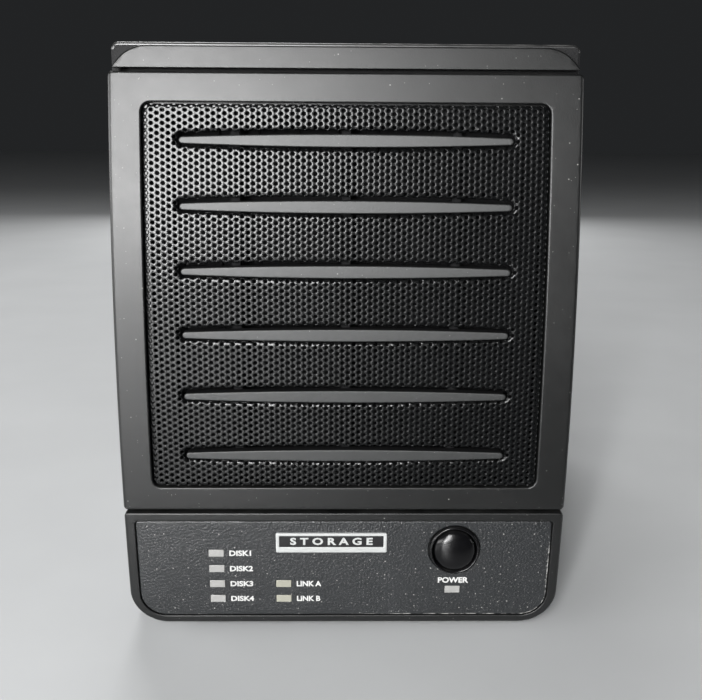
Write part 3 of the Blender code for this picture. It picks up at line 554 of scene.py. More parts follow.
def scratch_lines(shade, strength):
    """Thin lines in three directions, in patches."""
    layers = []
    for turn, seed in ((0.5, 0.0), (-0.9, 7.0), (1.3, 13.0)):
        stretched = shade.mapped(Rotation=(0.2, turn, 0.1), Location=(seed, seed, seed),
                                 Scale=(0.035, 0.3, 1.0))
        line = shade.noise(size=0.55, detail=1.0, source=stretched)
        patch = shade.span(shade.noise(size=15.0, detail=1.0), low=0.5, high=0.62)
        thin = shade.span(line, low=0.74, high=0.80)
        layers.append(shade.times(shade.times(thin, patch, clamp=True), strength))
    return layers


def dust_film(shade, strength):
    """Uneven film on faces that look up."""
    upward = shade.span(shade.normal()[2], low=0.5, high=0.95)
    uneven = shade.span(shade.noise(size=5.0, detail=4.0), low=0.35, high=0.75)
    return shade.times(shade.times(upward, uneven, clamp=True), strength, clamp=True)


def copper(shade, colour_out, colour, plane):
    """Copper runs and pads under a solder mask, laid out in the XZ or XY plane."""
    plan = shade.mapped(Rotation=(math.pi / 2, 0, 0.0)) if plane == "XZ" else shade.where
    bricks = {"Mortar Size": 0.035, "Color1": (0, 0, 0), "Color2": (0.25, 0.25, 0.25),
              "Mortar": (1, 1, 1)}
    runs = shade.node("ShaderNodeTexBrick", Scale=1.0 / (7.0 * MM), Vector=plan, **bricks)
    distance, random = shade.cells(2.4)
    pad = shade.span(distance, low=0.22, high=0.16)
    chosen = shade.maths("LESS_THAN", shade.channels(random)[1], 0.35)
    pad = shade.times(pad, chosen, clamp=True)
    lighter = tuple(min(1.0, c * 2.6) for c in colour)
    colour_out = shade.mix(shade.times(runs.outputs["Fac"], 0.55, clamp=True), colour_out, lighter)
    return shade.mix(pad, colour_out, (0.62, 0.55, 0.36))


# light colour of dust, specks and scratches; it also paints highlight lines (the film's outline and
# the heavy dust on the bezel rim)
DEPOSIT_AND_HIGHLIGHT_COLOUR = (0.36, 0.355, 0.34)


def finish(name, colour, rough, tint, mottle, grain, metallic=0.0, wave=None, specks=0.0,
           scratches=0.0, dust=0.0, coat=0.0, spec=0.5, brushed=0.0, weave=None, see=0.0,
           wear=0.0, traces=None, front_face=False, outline=None):
    """A procedural finish. Tint and mottle are the shares by which colour and roughness vary.
    Grain, wave (soft, broad unevenness) and weave (leather-like cells) are (size in mm, strength);
    specks, scratches and dust are shares of a light layer in the dust colour, which also paints
    highlights (outline paints a highlight line along a rounded outline, and a heavy dust share
    paints a bright rim); brushed stretches the grain along Y; see lets light into the surface."""
    shade = Shading(name)
    broad = shade.noise(size=26.0, detail=3.0)
    fine = shade.noise(size=3.2, detail=3.0)
    blotches = shade.add(shade.times(broad, 0.6), shade.times(fine, 0.4))
    darker, lighter = (tuple(c * (1 + change) for c in colour) for change in (-tint, tint))
    colour_out = shade.mix(shade.span(blotches, low=0.35, high=0.65), darker, lighter)
    rough_out = shade.span(blotches, low=0.32, high=0.68,
                           at_low=rough * (1 - mottle), at_high=rough * (1 + mottle))

    heights = []
    if brushed:
        lines = shade.noise(size=0.25, source=shade.mapped(Scale=(1.0, 0.03, 1.0)))
        heights.append(shade.times(lines, brushed))
        change = shade.times(shade.maths("SUBTRACT", lines, 0.5), 0.25 * brushed)
        rough_out = shade.add(rough_out, change, clamp=True)
    size, strength = grain
    heights.append(shade.times(shade.noise(size, rough=0.6), strength))
    if wave:
        size, strength = wave
        heights.append(shade.times(shade.noise(size, detail=1.0), strength))
    if weave:
        size, strength = weave
        domes = shade.span(shade.cells(size)[0], low=0.1, high=0.75, at_low=1.0, at_high=0.0)
        heights.append(shade.times(domes, strength))

    deposits_and_highlights = []
    if specks:
        deposits_and_highlights += (front_grains if front_face else even_grains)(shade, specks)
    # painted highlight: a broken light line along the rounded outline, standing in for light caught
    # by the rim
    if outline:
        deposits_and_highlights.append(painted_rim_highlight(shade, outline))
    if scratches:
        deposits_and_highlights += scratch_lines(shade, scratches)
    if dust:
        deposits_and_highlights.append(dust_film(shade, dust))
    if wear:
        rubbed = shade.span(shade.noise(size=9.0, detail=4.0), low=0.52, high=0.74)
        rubbed = shade.times(rubbed, wear, clamp=True)
        bare = tuple(min(1.0, c * 2.2 + 0.012) for c in colour)
        colour_out = shade.mix(rubbed, colour_out, bare)
        rough_out = shade.add(rough_out, shade.times(rubbed, 0.12), clamp=True)
    if traces:
        colour_out = copper(shade, colour_out, colour, plane=traces)
    if deposits_and_highlights:
        # the light layer holds real dust, specks and scratches and also painted highlight lines
        deposit_and_highlight = reduce(lambda a, b: shade.maths("MAXIMUM", a, b), deposits_and_highlights)
        colour_out = shade.mix(deposit_and_highlight, colour_out, DEPOSIT_AND_HIGHLIGHT_COLOUR)
        rough_out = shade.add(rough_out, shade.times(deposit_and_highlight, 0.35), clamp=True)

    # the bump distance is in metres
    bump = shade.node("ShaderNodeBump", Strength=1.0, Distance=0.0001,
                      Height=reduce(shade.add, heights))
    shade.shader(Base_Color=colour_out, Roughness=rough_out, Metallic=metallic,
                 Specular_IOR_Level=spec, Coat_Weight=coat, Coat_Roughness=0.08,
                 Normal=bump.outputs[0])
    if see:
        shade.shader(Subsurface_Weight=see, Subsurface_Radius=(0.001, 0.001, 0.001))
    shade.material.diffuse_color = (*colour, 1.0)
    return shade.material


FINISH = {
    "black_abs": finish(
        "black_abs_satin", colour=(0.0048, 0.0051, 0.0051), rough=0.375, tint=0.12, mottle=0.06,
        grain=(0.40, 0.15), wave=(16.0, 0.3), specks=0.035, dust=0.05, front_face=True),
    "fin": finish(
        "black_abs_matt", colour=(0.021, 0.022, 0.022), rough=0.44, tint=0.08, mottle=0.05,
        grain=(0.4, 0.28), wave=(12.0, 0.2), spec=0.60, specks=0.03, dust=0.12, front_face=True),
    # painted highlight: a lighter colour and a heavy dust film paint the bright line along the
    # bezel frame's top and upper side rims; the high specular level is the material's own
    "rubbed_rim": finish(
        "black_abs_rubbed", colour=(0.012, 0.012, 0.012), rough=0.34, tint=0.10, mottle=0.15,
        grain=(0.5, 0.2), spec=1.0, dust=0.35),
    "frame_matt": finish(
        "black_abs_frame", colour=(0.008, 0.008, 0.0085), rough=0.60, tint=0.15, mottle=0.06,
        grain=(0.6, 0.9), spec=0.20, dust=0.10),
    "tray_black": finish(
        "tray_black", colour=(0.0055, 0.0055, 0.006), rough=0.72, tint=0.12, mottle=0.08,
        grain=(0.7, 0.5), spec=0.16),
    # the outline entry paints a highlight line along the film's rounded rim
    "charcoal_film": finish(
        "charcoal_film_grained", colour=(0.0056, 0.0067, 0.0079), rough=0.335, tint=0.14,
        mottle=0.10, grain=(0.5, 0.75), spec=0.90, weave=(0.72, 0.60), specks=0.34, wear=0.15,
        dust=0.12, front_face=True, outline=(FILM_HALF, FILM_LO, FILM_HI, FILM_CORNER)),
    "gloss_black": finish(
        "gloss_black_moulding", colour=(0.0026, 0.0026, 0.0030), rough=0.20, tint=0.05,
        mottle=0.10, grain=(0.6, 0.012), specks=0.03, spec=0.30, dust=0.05),
    "painted_steel": finish(
        "painted_steel_black", colour=(0.017, 0.017, 0.018), rough=0.40, tint=0.08, mottle=0.05,
        grain=(0.55, 0.35), wave=(2.4, 0.5), specks=0.02, scratches=0.06, dust=0.035),
    "perforated_steel": finish(
        "perforated_steel_black", colour=(0.0024, 0.0026, 0.0028), rough=0.215, tint=0.08,
        mottle=0.06, grain=(0.5, 0.06), dust=0.03, spec=0.32),
    "zinc_steel": finish(
        "zinc_plated_steel", colour=(0.50, 0.51, 0.52), rough=0.34, metallic=1.0, tint=0.05,
        mottle=0.18, grain=(0.8, 0.05), wave=(6.0, 0.2), brushed=0.12, specks=0.02,
        scratches=0.12),
    "dark_steel": finish(
        "dark_screw_steel", colour=(0.075, 0.075, 0.08), rough=0.34, metallic=1.0, tint=0.08,
        mottle=0.15, grain=(0.25, 0.10), wear=0.5),
    "bright_metal": finish(
        "bright_metal", colour=(0.74, 0.75, 0.75), rough=0.20, metallic=1.0, tint=0.03,
        mottle=0.15, grain=(0.3, 0.03), scratches=0.1),
    "milky_window": finish(
        "milky_window", colour=(0.272, 0.270, 0.262), rough=0.34, tint=0.04, mottle=0.1,
        grain=(0.3, 0.03), see=0.25),
    "warm_window": finish(
        "warm_window", colour=(0.268, 0.262, 0.218), rough=0.34, tint=0.04, mottle=0.1,
        grain=(0.3, 0.03), see=0.25),
    "circuit_board": finish(
        "circuit_board_green", colour=(0.010, 0.075, 0.038), rough=0.32, tint=0.12, mottle=0.1,
        grain=(0.4, 0.05), traces="XZ", coat=0.2),
    "main_board": finish(
        "main_board_green", colour=(0.010, 0.075, 0.038), rough=0.32, tint=0.12, mottle=0.1,
        grain=(0.4, 0.05), traces="XY", coat=0.2),
    "rubber": finish(
        "foot_rubber", colour=(0.018, 0.018, 0.018), rough=0.82, tint=0.15, mottle=0.06,
        grain=(0.5, 0.35), dust=0.2, specks=0.06),
    "cable_jacket": finish(
        "cable_jacket_black", colour=(0.02, 0.02, 0.021), rough=0.5, tint=0.1, mottle=0.08,
        grain=(0.6, 0.10)),
    "ribbon_grey": finish(
        "ribbon_grey", colour=(0.36, 0.37, 0.39), rough=0.5, tint=0.06, mottle=0.06,
        grain=(0.6, 0.06)),
    "drive_alloy": finish(
        "cast_drive_alloy", colour=(0.42, 0.43, 0.44), rough=0.42, metallic=1.0, tint=0.07,
        mottle=0.14, grain=(0.45, 0.20), scratches=0.05),
    "plate_silver": finish(
        "nameplate_silver", colour=(0.46, 0.47, 0.465), rough=0.42, metallic=0.25, tint=0.04,
        mottle=0.08, grain=(0.5, 0.05), scratches=0.05),
    "blackened_pin": finish(
        "blackened_pin", colour=(0.008, 0.008, 0.008), rough=0.60, tint=0.1, mottle=0.1,
        grain=(0.3, 0.05), spec=0.15),
    "ink_white": finish(
        "ink_white", colour=(0.50, 0.50, 0.49), rough=0.5, tint=0.12, mottle=0.05,
        grain=(0.2, 0.05)),
    "plate_field": finish(
        "nameplate_field", colour=(0.007, 0.007, 0.008), rough=0.34, tint=0.05, mottle=0.1,
        grain=(0.3, 0.03), scratches=0.1),
}


# ------------------------------------------------------------------ objects
def smooth_below(mesh, angle):
    mesh.shade_smooth()
    mesh.set_sharp_from_angle(angle=math.radians(angle))


def even_normals(obj, weight):
    modifier = obj.modifiers.new("normals", "WEIGHTED_NORMAL")
    modifier.weight, modifier.keep_sharp = weight, True


def show(name, mesh, finishes, node, replace=True):
    """A shown object that rides the body of a CAD node and, as a rule, replaces the node."""
    obj = bpy.data.objects.new(name, mesh)
    bpy.context.scene.collection.objects.link(obj)
    for one in finishes:
        mesh.materials.append(FINISH[one])
    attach(obj, BODY[node])
    if replace:
        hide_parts(node)
    return obj


def new_piece(name, bm, finishes, node, smooth=33.0, even=False, replace=True):
    """A shown piece made from a mesh in millimetres."""
    bmesh.ops.transform(bm, matrix=Matrix.Scale(MM, 4), verts=bm.verts)
    mesh = bpy.data.meshes.new(name)
    bm.to_mesh(mesh)
    bm.free()
    smooth_below(mesh, smooth)
    obj = show(name, mesh, finishes, node, replace)
    if even:
        even_normals(obj, weight=65)
    return obj


# ------------------------------------------------------------------ bezel
WINDOWS = [
    "disk_light_1", "disk_light_2", "disk_light_3", "disk_light_4",
    "link_light_1", "link_light_2", "power_light",
]
BUTTON_X, _, BUTTON_Z = middle("power_button_ring")
CAVITY = round_rect(CAVITY_BOX, (7.0, 7.0, 1.0, 1.0), steps=6)
POCKET = round_rect(POCKET_BOX, 0.4, side=4.0, steps=3)


def window_hole(name, grow):
    (x0, _, z0), (x1, _, z1) = mm(name)
    return round_rect((x0, x1, z0, z1), 0.3, inset=-grow, side=2.0, steps=4)


def bezel_lower():
    """Control section: convex front with a sunken field and a hollow back."""
    shell = Shell()
    outline = round_rect(LOWER_BOX, (11.0, 11.0, 1.1, 1.1), side=2.0, steps=14)
    outer = shell.edge(outline, edge_radius(side=0.95, top=0.45, bottom=0.95))
    outer += [shell.ring(outline, JOINT_Y)]
    shell.bands(outer)

    sunk = round_rect(FILM_BOX, (7.8, 7.8, 1.2, 1.2), inset=-0.3, side=2.0, steps=12)
    field = shell.edge(sunk, 0.28, hole=True, steps=4) + [shell.on_front(sunk, FIELD_DEPTH)]
    shell.bands(field)
    shell.cap(outer[0], [field[0]], curved(0.0), grid=(4.0, 2.0))

    ceiling = shell.on_front(CAVITY, PANEL_WALL)
    mouth = shell.ring(CAVITY, JOINT_Y)
    shell.bands([ceiling, mouth])
    outlines = [window_hole(name, 0.15) for name in WINDOWS]
    outlines.append(circle(BUTTON_X, BUTTON_Z, 7.05, 48))
    holes = [[shell.on_front(o, d) for d in (FIELD_DEPTH, PANEL_WALL)] for o in outlines]
    for pair in holes:
        shell.bands(pair)
    shell.cap(field[-1], [p[0] for p in holes], curved(FIELD_DEPTH), grid=(5.0, 3.0))
    shell.cap(ceiling, [p[1] for p in holes], curved(PANEL_WALL), grid=(5.0, 3.0))
    shell.cap(outer[-1], [mouth], level(JOINT_Y))
    return shell.mesh()


def bezel_strip():
    """Strip above the door, its upper corners cut by a big radius."""
    shell = Shell()
    corner = 10.5
    centre_x, centre_z = HALF_W - corner, STRIP_HI - corner
    start = math.asin((STRIP_LO - centre_z) / corner)
    arc = [
        (centre_x + corner * math.cos(a), centre_z + corner * math.sin(a))
        for a in np.linspace(start, math.pi / 2, 22)
    ]
    end_x = arc[0][0]
    top = [(x, STRIP_HI) for x in np.linspace(centre_x, -centre_x, 40)[1:-1]]
    left = [(-x, z) for x, z in arc[::-1]]
    low = [(x, STRIP_LO) for x in np.linspace(-end_x, end_x, 46)]
    outline = np.array(arc[1:] + top + left[:-1] + low)
    rise = np.clip((outline[:, 1] - STRIP_LO) / 2.0, 0, 1)
    rings = shell.edge(outline, 0.26 + 0.22 * rise) + [shell.ring(outline, JOINT_Y)]
    shell.bands(rings)
    shell.cap(rings[0], [], curved(0.0), grid=(4.0, 1.6))
    shell.cap(rings[-1], [], level(JOINT_Y))
    return shell.mesh()


def bezel_frame():
    """Square-shouldered frame behind the curved parts."""
    shell = Shell()
    shy = 0.03
    box = (-HALF_W + shy, HALF_W - shy, BASE_Z + shy, FRAME_TOP)
    outline = round_rect(box, (11.0, 11.0, 2.0, 2.0), side=6.0, steps=12)
    outer = shell.flat_edge(outline, 0.8, FRAME_FRONT, steps=6) + [shell.ring(outline, BACK_Y)]
    bay = round_rect(BAY_BOX, 0.5, side=6.0, steps=4)
    inner = shell.flat_edge(bay, 0.3, FRAME_FRONT, steps=3, hole=True)
    inner += [shell.ring(bay, BACK_Y)]
    hollow = [shell.ring(CAVITY, y) for y in (FRAME_FRONT, BACK_Y)]
    pocket_floor = FRAME_FRONT + 2.3
    pocket = [shell.ring(POCKET, y) for y in (FRAME_FRONT, pocket_floor)]
    for rings in (outer, inner, hollow, pocket):
        shell.bands(rings)
    shell.cap(outer[0], [inner[0], hollow[0], pocket[0]], level(FRAME_FRONT))
    shell.cap(outer[-1], [inner[-1], hollow[-1]], level(BACK_Y))
    shell.cap(pocket[-1], [], level(pocket_floor))
    return shell.mesh()


def bezel():
    bore = pin_bore(LOWER_TOP - 4.0, STRIP_LO + 1.5)
    shape = cut(join(bezel_lower(), bezel_strip(), bezel_frame()), bore)
    curved_part, frame_part, highlight_rim_part = range(3)
    rim_width = 0.95
    for face in shape.faces:
        centre = face.calc_center_median()
        at_side = abs(centre.x) > HALF_W - rim_width and centre.z > STRIP_LO + 2.0
        at_rim = centre.z > FRAME_TOP - rim_width or at_side
        # the top rim and the upper side rims take the finish that paints a highlight line
        if centre.y < FRAME_FRONT - 0.2:
            face.material_index = curved_part
        elif at_rim and centre.y < FRAME_FRONT + 1.5:
            face.material_index = highlight_rim_part
        else:
            face.material_index = frame_part
    finishes = ["black_abs", "frame_matt", "rubbed_rim"]
    new_piece("bezel_moulding", shape, finishes, "front_bezel", even=True)


# ------------------------------------------------------------------ door
def door_shell():
    shell = Shell()
    outline = round_rect(DOOR_BOX, 1.15, side=1.6)
    outer = shell.edge(outline, edge_radius(side=1.0, top=0.55, bottom=0.55), steps=6)
    outer.append(shell.ring(outline, PIN_Y))
    # behind the pin the left edge is rounded about it, so that the door can swing
    reach = HALF_W + PIN_X
    for k in range(1, 9):
        a = math.radians(90 * k / 8)
        held = outline.copy()
        held[:, 0] = np.maximum(held[:, 0], PIN_X - reach * math.cos(a))
        y = PIN_Y + reach * math.sin(a) * (DOOR_BACK - PIN_Y) / reach
        outer.append(shell.ring(held, y))
    shell.bands(outer)

    # the opening, with a ledge behind it
    ledge_y = DOOR_BACK - 2.5
    opening = round_rect(OPEN_BOX, 2.6, side=1.6)
    inner = shell.edge(opening, 0.45, hole=True) + [shell.ring(opening, ledge_y)]
    ledge_outline = round_rect(OPEN_BOX, 2.0, inset=3, side=1.6)
    ledge = [shell.ring(ledge_outline, y) for y in (ledge_y, DOOR_BACK)]
    shell.bands(inner)
    shell.bands(ledge)
    shell.cap(outer[0], [inner[0]], curved(0.0), grid=(3.0, 2.0))
    shell.cap(inner[-1], [ledge[0]], level(ledge_y))

    # shallow pocket for the strike
    pocket_floor = DOOR_BACK - 1.4
    pocket = [shell.ring(POCKET, y) for y in (DOOR_BACK, pocket_floor)]
    shell.bands(pocket)
    shell.cap(outer[-1], [ledge[1], pocket[0]], level(DOOR_BACK))
    shell.cap(pocket[1], [], level(pocket_floor))

    bores = together(pin_bore(DOOR_LO - 2, DOOR_LO + 6), pin_bore(DOOR_HI - 6, DOOR_HI + 2))
    shape = cut(shell.mesh(), bores)
    new_piece("door_moulding", shape, ["black_abs"], "door_frame", even=True)


# ------------------------------------------------------------------ perforated sheet
def distance_to(points, loop):
    """Distance from each point to a closed outline."""
    along = np.roll(loop, -1, 0) - loop
    squared = np.maximum((along * along).sum(-1), 1e-12)
    best = np.full(len(points), 1e9)
    for k in range(0, len(points), 4000):
        p = points[k : k + 4000, None]
        t = np.clip(((p - loop) * along).sum(-1) / squared, 0, 1)
        nearest = loop + t[..., None] * along
        best[k : k + 4000] = np.sqrt(((nearest - p) ** 2).sum(-1).min(1))
    return best


def hole_grid():
    """Centres of the staggered holes, with one row of holes on each fin's centre line."""
    step = PITCH * math.sqrt(3) / 2
    columns = int(SHEET_HALF / step) + 2
    first = math.floor((SHEET_LO - FIN_ROWS[0]) / PITCH) - 1
    last = math.ceil((SHEET_HI - FIN_ROWS[0]) / PITCH) + 1
    points = []
    for i in range(-columns, columns + 1):
        x = (i + 0.5) * step
        shift = 0.5 * PITCH if i % 2 else 0.0
        points += [(x, FIN_ROWS[0] + shift + j * PITCH) for j in range(first, last)]
    return np.array(points)


def sheet_holes(slots):
    """Hole centres on the sheet, without the holes that lie wholly inside a slot."""
    centres = hole_grid()
    x, z = centres.T
    margin = 0.2
    keep = (np.abs(x) < SHEET_HALF + margin) & (z > SHEET_LO - margin) & (z < SHEET_HI + margin)
    centres = centres[keep]
    x, z = centres.T
    inside = np.zeros(len(centres), bool)
    for row, loop in zip(FIN_ROWS, slots):
        share = np.clip(np.abs(x) / (FIN_REACH + SLOT_GROW), 0, 1)
        half = (FIN_T - FIN_TAPER * share**2) / 2 + SLOT_GROW
        within = (np.abs(z - row) < 4) & (share < 0.995) & (np.abs(z - row - SLOT_UP) < half)
        depth = np.zeros(len(centres))
        depth[within] = distance_to(centres[within], loop)
        inside |= within & (depth > HOLE_R * 0.98)
    return centres[~inside]


def sheet_plan(outline, slots):
    """Points (x, z) of the holed sheet and the triangles between them."""
    angles = 2 * np.pi * (np.arange(HOLE_SIDES) + 0.5) / HOLE_SIDES
    hole = np.stack([np.cos(angles), np.sin(angles)], 1) * HOLE_R
    holes = sheet_holes(slots)[:, None] + hole[None]
    loops = [outline, *slots]
    # rows of points that follow the bent rims
    rows = []
    for loop, sign in [(outline, -1.0)] + [(s, 1.0) for s in slots]:
        normal, stretch = normals(loop)
        rows += [loop + sign * normal * (d * stretch)[:, None] for d in (0.12, 0.4, 0.8)]
    edges, faces = constraints(loops)
    hole_edges, hole_faces = constraints(holes, start=sum(len(p) for p in loops + rows))
    points = np.concatenate(loops + rows + [holes.reshape(-1, 2)])
    verts, _, tris, _, _, from_faces = delaunay_2d_cdt(
        [Vector(p) for p in points], edges + hole_edges, faces + hole_faces, 0, 1e-5, True
    )
    verts = np.array([(v[0], v[1]) for v in verts])
    kept = np.array([t for t, s in zip(tris, from_faces) if len(s) == 1 and 0 in s])
    used = np.unique(kept)
    renumber = np.full(len(verts), -1)
    renumber[used] = np.arange(len(used))
    return verts[used], renumber[kept]


def cut_edges(tris):
    """Edges with one triangle only, in the direction in which that triangle runs."""
    edges = np.concatenate([tris[:, [0, 1]], tris[:, [1, 2]], tris[:, [2, 0]]])
    key = np.sort(edges, 1)
    order = np.lexsort((key[:, 1], key[:, 0]))
    key = key[order]
    twin = (key[1:] == key[:-1]).all(1)
    shared = np.zeros(len(key), bool)
    shared[1:] |= twin
    shared[:-1] |= twin
    return edges[order[~shared]]


def sheet_depth(plan, outline, slots):
    """y of the sheet's face, bent back along its outline and its slots."""
    inward = np.minimum(distance_to(plan, outline), 5.0)
    for slot in slots:
        near = np.abs(plan[:, 1] - slot[:, 1].mean()) < 5
        inward[near] = np.minimum(inward[near], distance_to(plan[near], slot))
    t = np.clip(BEND_R - inward, 0, BEND_R)
    bend = (BEND_R - np.sqrt(np.maximum(BEND_R**2 - t**2, 0))) * 0.75
    return front_y(plan[:, 1]) + 0.2 + bend


def door_sheet():
    outline = round_rect(SHEET_BOX, 2.1, side=1.2)
    slots = [lens(z + SLOT_UP, SLOT_GROW) for z in FIN_ROWS]
    plan, tris = sheet_plan(outline, slots)
    rim = cut_edges(tris)
    first, second = plan[tris[:, 1]] - plan[tris[:, 0]], plan[tris[:, 2]] - plan[tris[:, 0]]
    # positive where the triangles run counter-clockwise
    turn = (first[:, 0] * second[:, 1] - first[:, 1] * second[:, 0]).mean()

    # the face is pulled in a little along every cut edge, so that each hole has a rounded lip
    along = plan[rim[:, 1]] - plan[rim[:, 0]]
    length = np.maximum(np.linalg.norm(along, axis=1), 1e-9)[:, None]
    out = np.stack([along[:, 1], -along[:, 0]], 1) / length * (1.0 if turn > 0 else -1.0)
    push = np.zeros_like(plan)
    np.add.at(push, rim[:, 0], out)
    np.add.at(push, rim[:, 1], out)
    size = np.linalg.norm(push, axis=1)
    on_rim = size > 1e-6
    push[on_rim] /= size[on_rim][:, None]
    face_y = sheet_depth(plan, outline, slots)

    def layer(inset, depth):
        """All points pulled in by a share of the lip, at a depth behind the face."""
        at = plan - push * LIP * inset
        return np.stack([at[:, 0], face_y + depth, at[:, 1]], 1)

    rim_ids = np.unique(rim)
    count = len(plan)
    # the lip's stations between face and side wall follow a quarter circle
    lip = [layer(i, LIP * d)[rim_ids] for i, d in ((0.5, 0.134), (0.134, 0.5), (0.0, 1.0))]
    vertices = np.concatenate([layer(1.0, 0.0), *lip, layer(0.0, THICK)]) * MM
    levels = [np.arange(count)]
    for k in range(len(lip)):
        index = np.full(count, -1)
        index[rim_ids] = count + k * len(rim_ids) + np.arange(len(rim_ids))
        levels.append(index)
    back = count + len(lip) * len(rim_ids)
    levels.append(back + np.arange(count))

    polygons = [tuple(t) for t in tris] + [tuple(back + t[::-1]) for t in tris]
    for start, end in rim:
        for upper, lower in zip(levels, levels[1:]):
            polygons.append((upper[end], upper[start], lower[start], lower[end]))
    if turn < 0:
        polygons = [p[::-1] for p in polygons]
    polygons = [tuple(int(i) for i in p) for p in polygons]
    mesh = bpy.data.meshes.new("perforated_sheet")
    mesh.from_pydata(vertices.tolist(), [], polygons)
    smooth_below(mesh, 50)
    obj = show("perforated_sheet", mesh, ["perforated_steel", "tray_black"], "door_mesh")
    # the back and the deepest band of every cut edge are dull
    dull = np.zeros(len(polygons), np.int32)
    dull[len(tris) : 2 * len(tris)] = 1
    dull[2 * len(tris) + 3 :: 4] = 1
    mesh.polygons.foreach_set("material_index", dull)
    even_normals(obj, weight=100)


def sheet_rim():
    """The rim that turns back into the door."""
    shell = Shell()
    walls = []
    for inset, corner in ((0.02, 2.1), (THICK, 1.3)):
        outline = round_rect(SHEET_BOX, corner, inset=inset, side=2.0)
        walls.append([shell.on_front(outline, RIM_DEPTH), shell.ring(outline, SHEET_BACK)])
    outer, inner = walls
    shell.bands(outer)
    shell.bands(inner)
    shell.cap(outer[0], [inner[0]], curved(RIM_DEPTH))
    shell.cap(outer[1], [inner[1]], level(SHEET_BACK))
    new_piece("sheet_rim", shell.mesh(), ["perforated_steel"], "door_mesh")


def one_fin(centre_z):
    shell = Shell()
    fin_back = 3.4
    outline = lens(centre_z)
    rings = shell.edge(outline, 0.28, depth=FIN_DEPTH, steps=4)
    rings += [shell.on_front(outline, fin_back)]
    shell.bands(rings)
    shell.cap(rings[0], [], curved(FIN_DEPTH), grid=(3.0, 1.1))
    shell.cap(rings[-1], [], curved(fin_back))
    return shell.mesh()


def door_fins():
    """The fins, held from behind by upright ribs and a flat ring."""
    back = DOOR_BACK - 2.8
    low, high = OPEN_LO + 3.5, OPEN_HI - 3.5
    profile = [(float(front_y(z)) + 3.0, z) for z in np.linspace(low, high, 60)]
    profile += [(back, high), (back, low)]
    ribs = [prism(profile, x - 1.2, x + 1.2, "X") for x in (-30.0, 0.0, 30.0)]
    outer, inner = (
        round_rect(SHEET_BOX, 1.0, inset=inset, side=WHOLE, steps=4) for inset in (1.3, 6)
    )
    ring = cut(prism(outer, back - 1.8, back, "Y"), prism(inner, -130, -60, "Y"))
    shape = join(together(*[one_fin(z) for z in FIN_ROWS]), together(*ribs), ring)
    for face in shape.faces:
        centre = face.calc_center_median()
        face.material_index = 1 if centre.y > float(front_y(centre.z)) + 0.9 else 0
    new_piece("fin_grille", shape, ["fin", "tray_black"], "door_fins", even=True)


# ------------------------------------------------------------------ control panel
def panel_film():
    shell = Shell()
    film_back = 1.0
    radii = (FILM_CORNER, FILM_CORNER, 0.9, 0.9)
    outline = round_rect(FILM_BOX, radii, side=2.0, steps=12)
    outer = shell.edge(outline, 0.22, depth=FILM_DEPTH, steps=3)
    outer += [shell.on_front(outline, film_back)]
    shell.bands(outer)
    # outline, edge radius and steps of each hole
    openings = [(window_hole(name, 0.1), 0.10, 2) for name in WINDOWS]
    openings.append((circle(BUTTON_X, BUTTON_Z, 7.7, 56), 0.2, 3))
    holes = []
    for hole, radius, steps in openings:
        rings = shell.edge(hole, radius, depth=FILM_DEPTH, steps=steps, hole=True)
        holes.append(rings + [shell.on_front(hole, film_back)])
    for rings in holes:
        shell.bands(rings)
    shell.cap(outer[0], [h[0] for h in holes], curved(FILM_DEPTH), grid=(3.0, 2.0))
    shell.cap(outer[-1], [h[-1] for h in holes], curved(film_back), grid=(6.0, 4.0))
    new_piece("panel_film", shell.mesh(), ["charcoal_film"], "control_panel_overlay",
              even=True)


PLATE_DEPTH, PLATE_FIELD, PLATE_GROOVE, PLATE_BACK = -0.45, -0.15, -0.3, 0.3
PLATE_SIDE, PLATE_BELOW, PLATE_ABOVE = 0.95, 1.75, 0.85    # borders of the sunken field


def nameplate():
    """Plate with a sunken field and a thin groove below it."""
    (x0, _, z0), (x1, _, z1) = mm("nameplate")
    field_x0, field_x1 = x0 + PLATE_SIDE, x1 - PLATE_SIDE
    shell = Shell()
    outline = round_rect((x0, x1, z0, z1), 0.4, side=1.5, steps=4)
    outer = shell.edge(outline, 0.16, depth=PLATE_DEPTH, steps=3)
    outer += [shell.on_front(outline, PLATE_BACK)]
    sunk = round_rect((field_x0, field_x1, z0 + PLATE_BELOW, z1 - PLATE_ABOVE), 0.2,
                      side=1.5, steps=3)
    inner = shell.edge(sunk, 0.1, depth=PLATE_DEPTH, steps=2, hole=True)
    inner += [shell.on_front(sunk, PLATE_FIELD)]
    line = round_rect((field_x0, field_x1, z0 + 1.2, z0 + 1.4), 0.05, side=1.5, steps=2)
    groove = [shell.on_front(line, depth) for depth in (PLATE_DEPTH, PLATE_GROOVE)]
    for rings in (outer, inner, groove):
        shell.bands(rings)
    shell.cap(outer[0], [inner[0], groove[0]], curved(PLATE_DEPTH))
    shell.cap(inner[-1], [], curved(PLATE_FIELD), grid=(2.0, 1.0))
    shell.cap(groove[-1], [], curved(PLATE_GROOVE))
    shell.cap(outer[-1], [], curved(PLATE_BACK))
    bm = shell.mesh()
    for face in bm.faces:
        centre = face.calc_center_median()
        inside = x0 + 0.9 < centre.x < x1 - 0.9 and z0 + 1.7 < centre.z < z1 - 0.8
        if inside and abs(centre.y - float(front_y(centre.z)) - PLATE_FIELD) < 0.05:
            face.material_index = 1
    new_piece("name_plate", bm, ["plate_silver", "plate_field"], "nameplate")


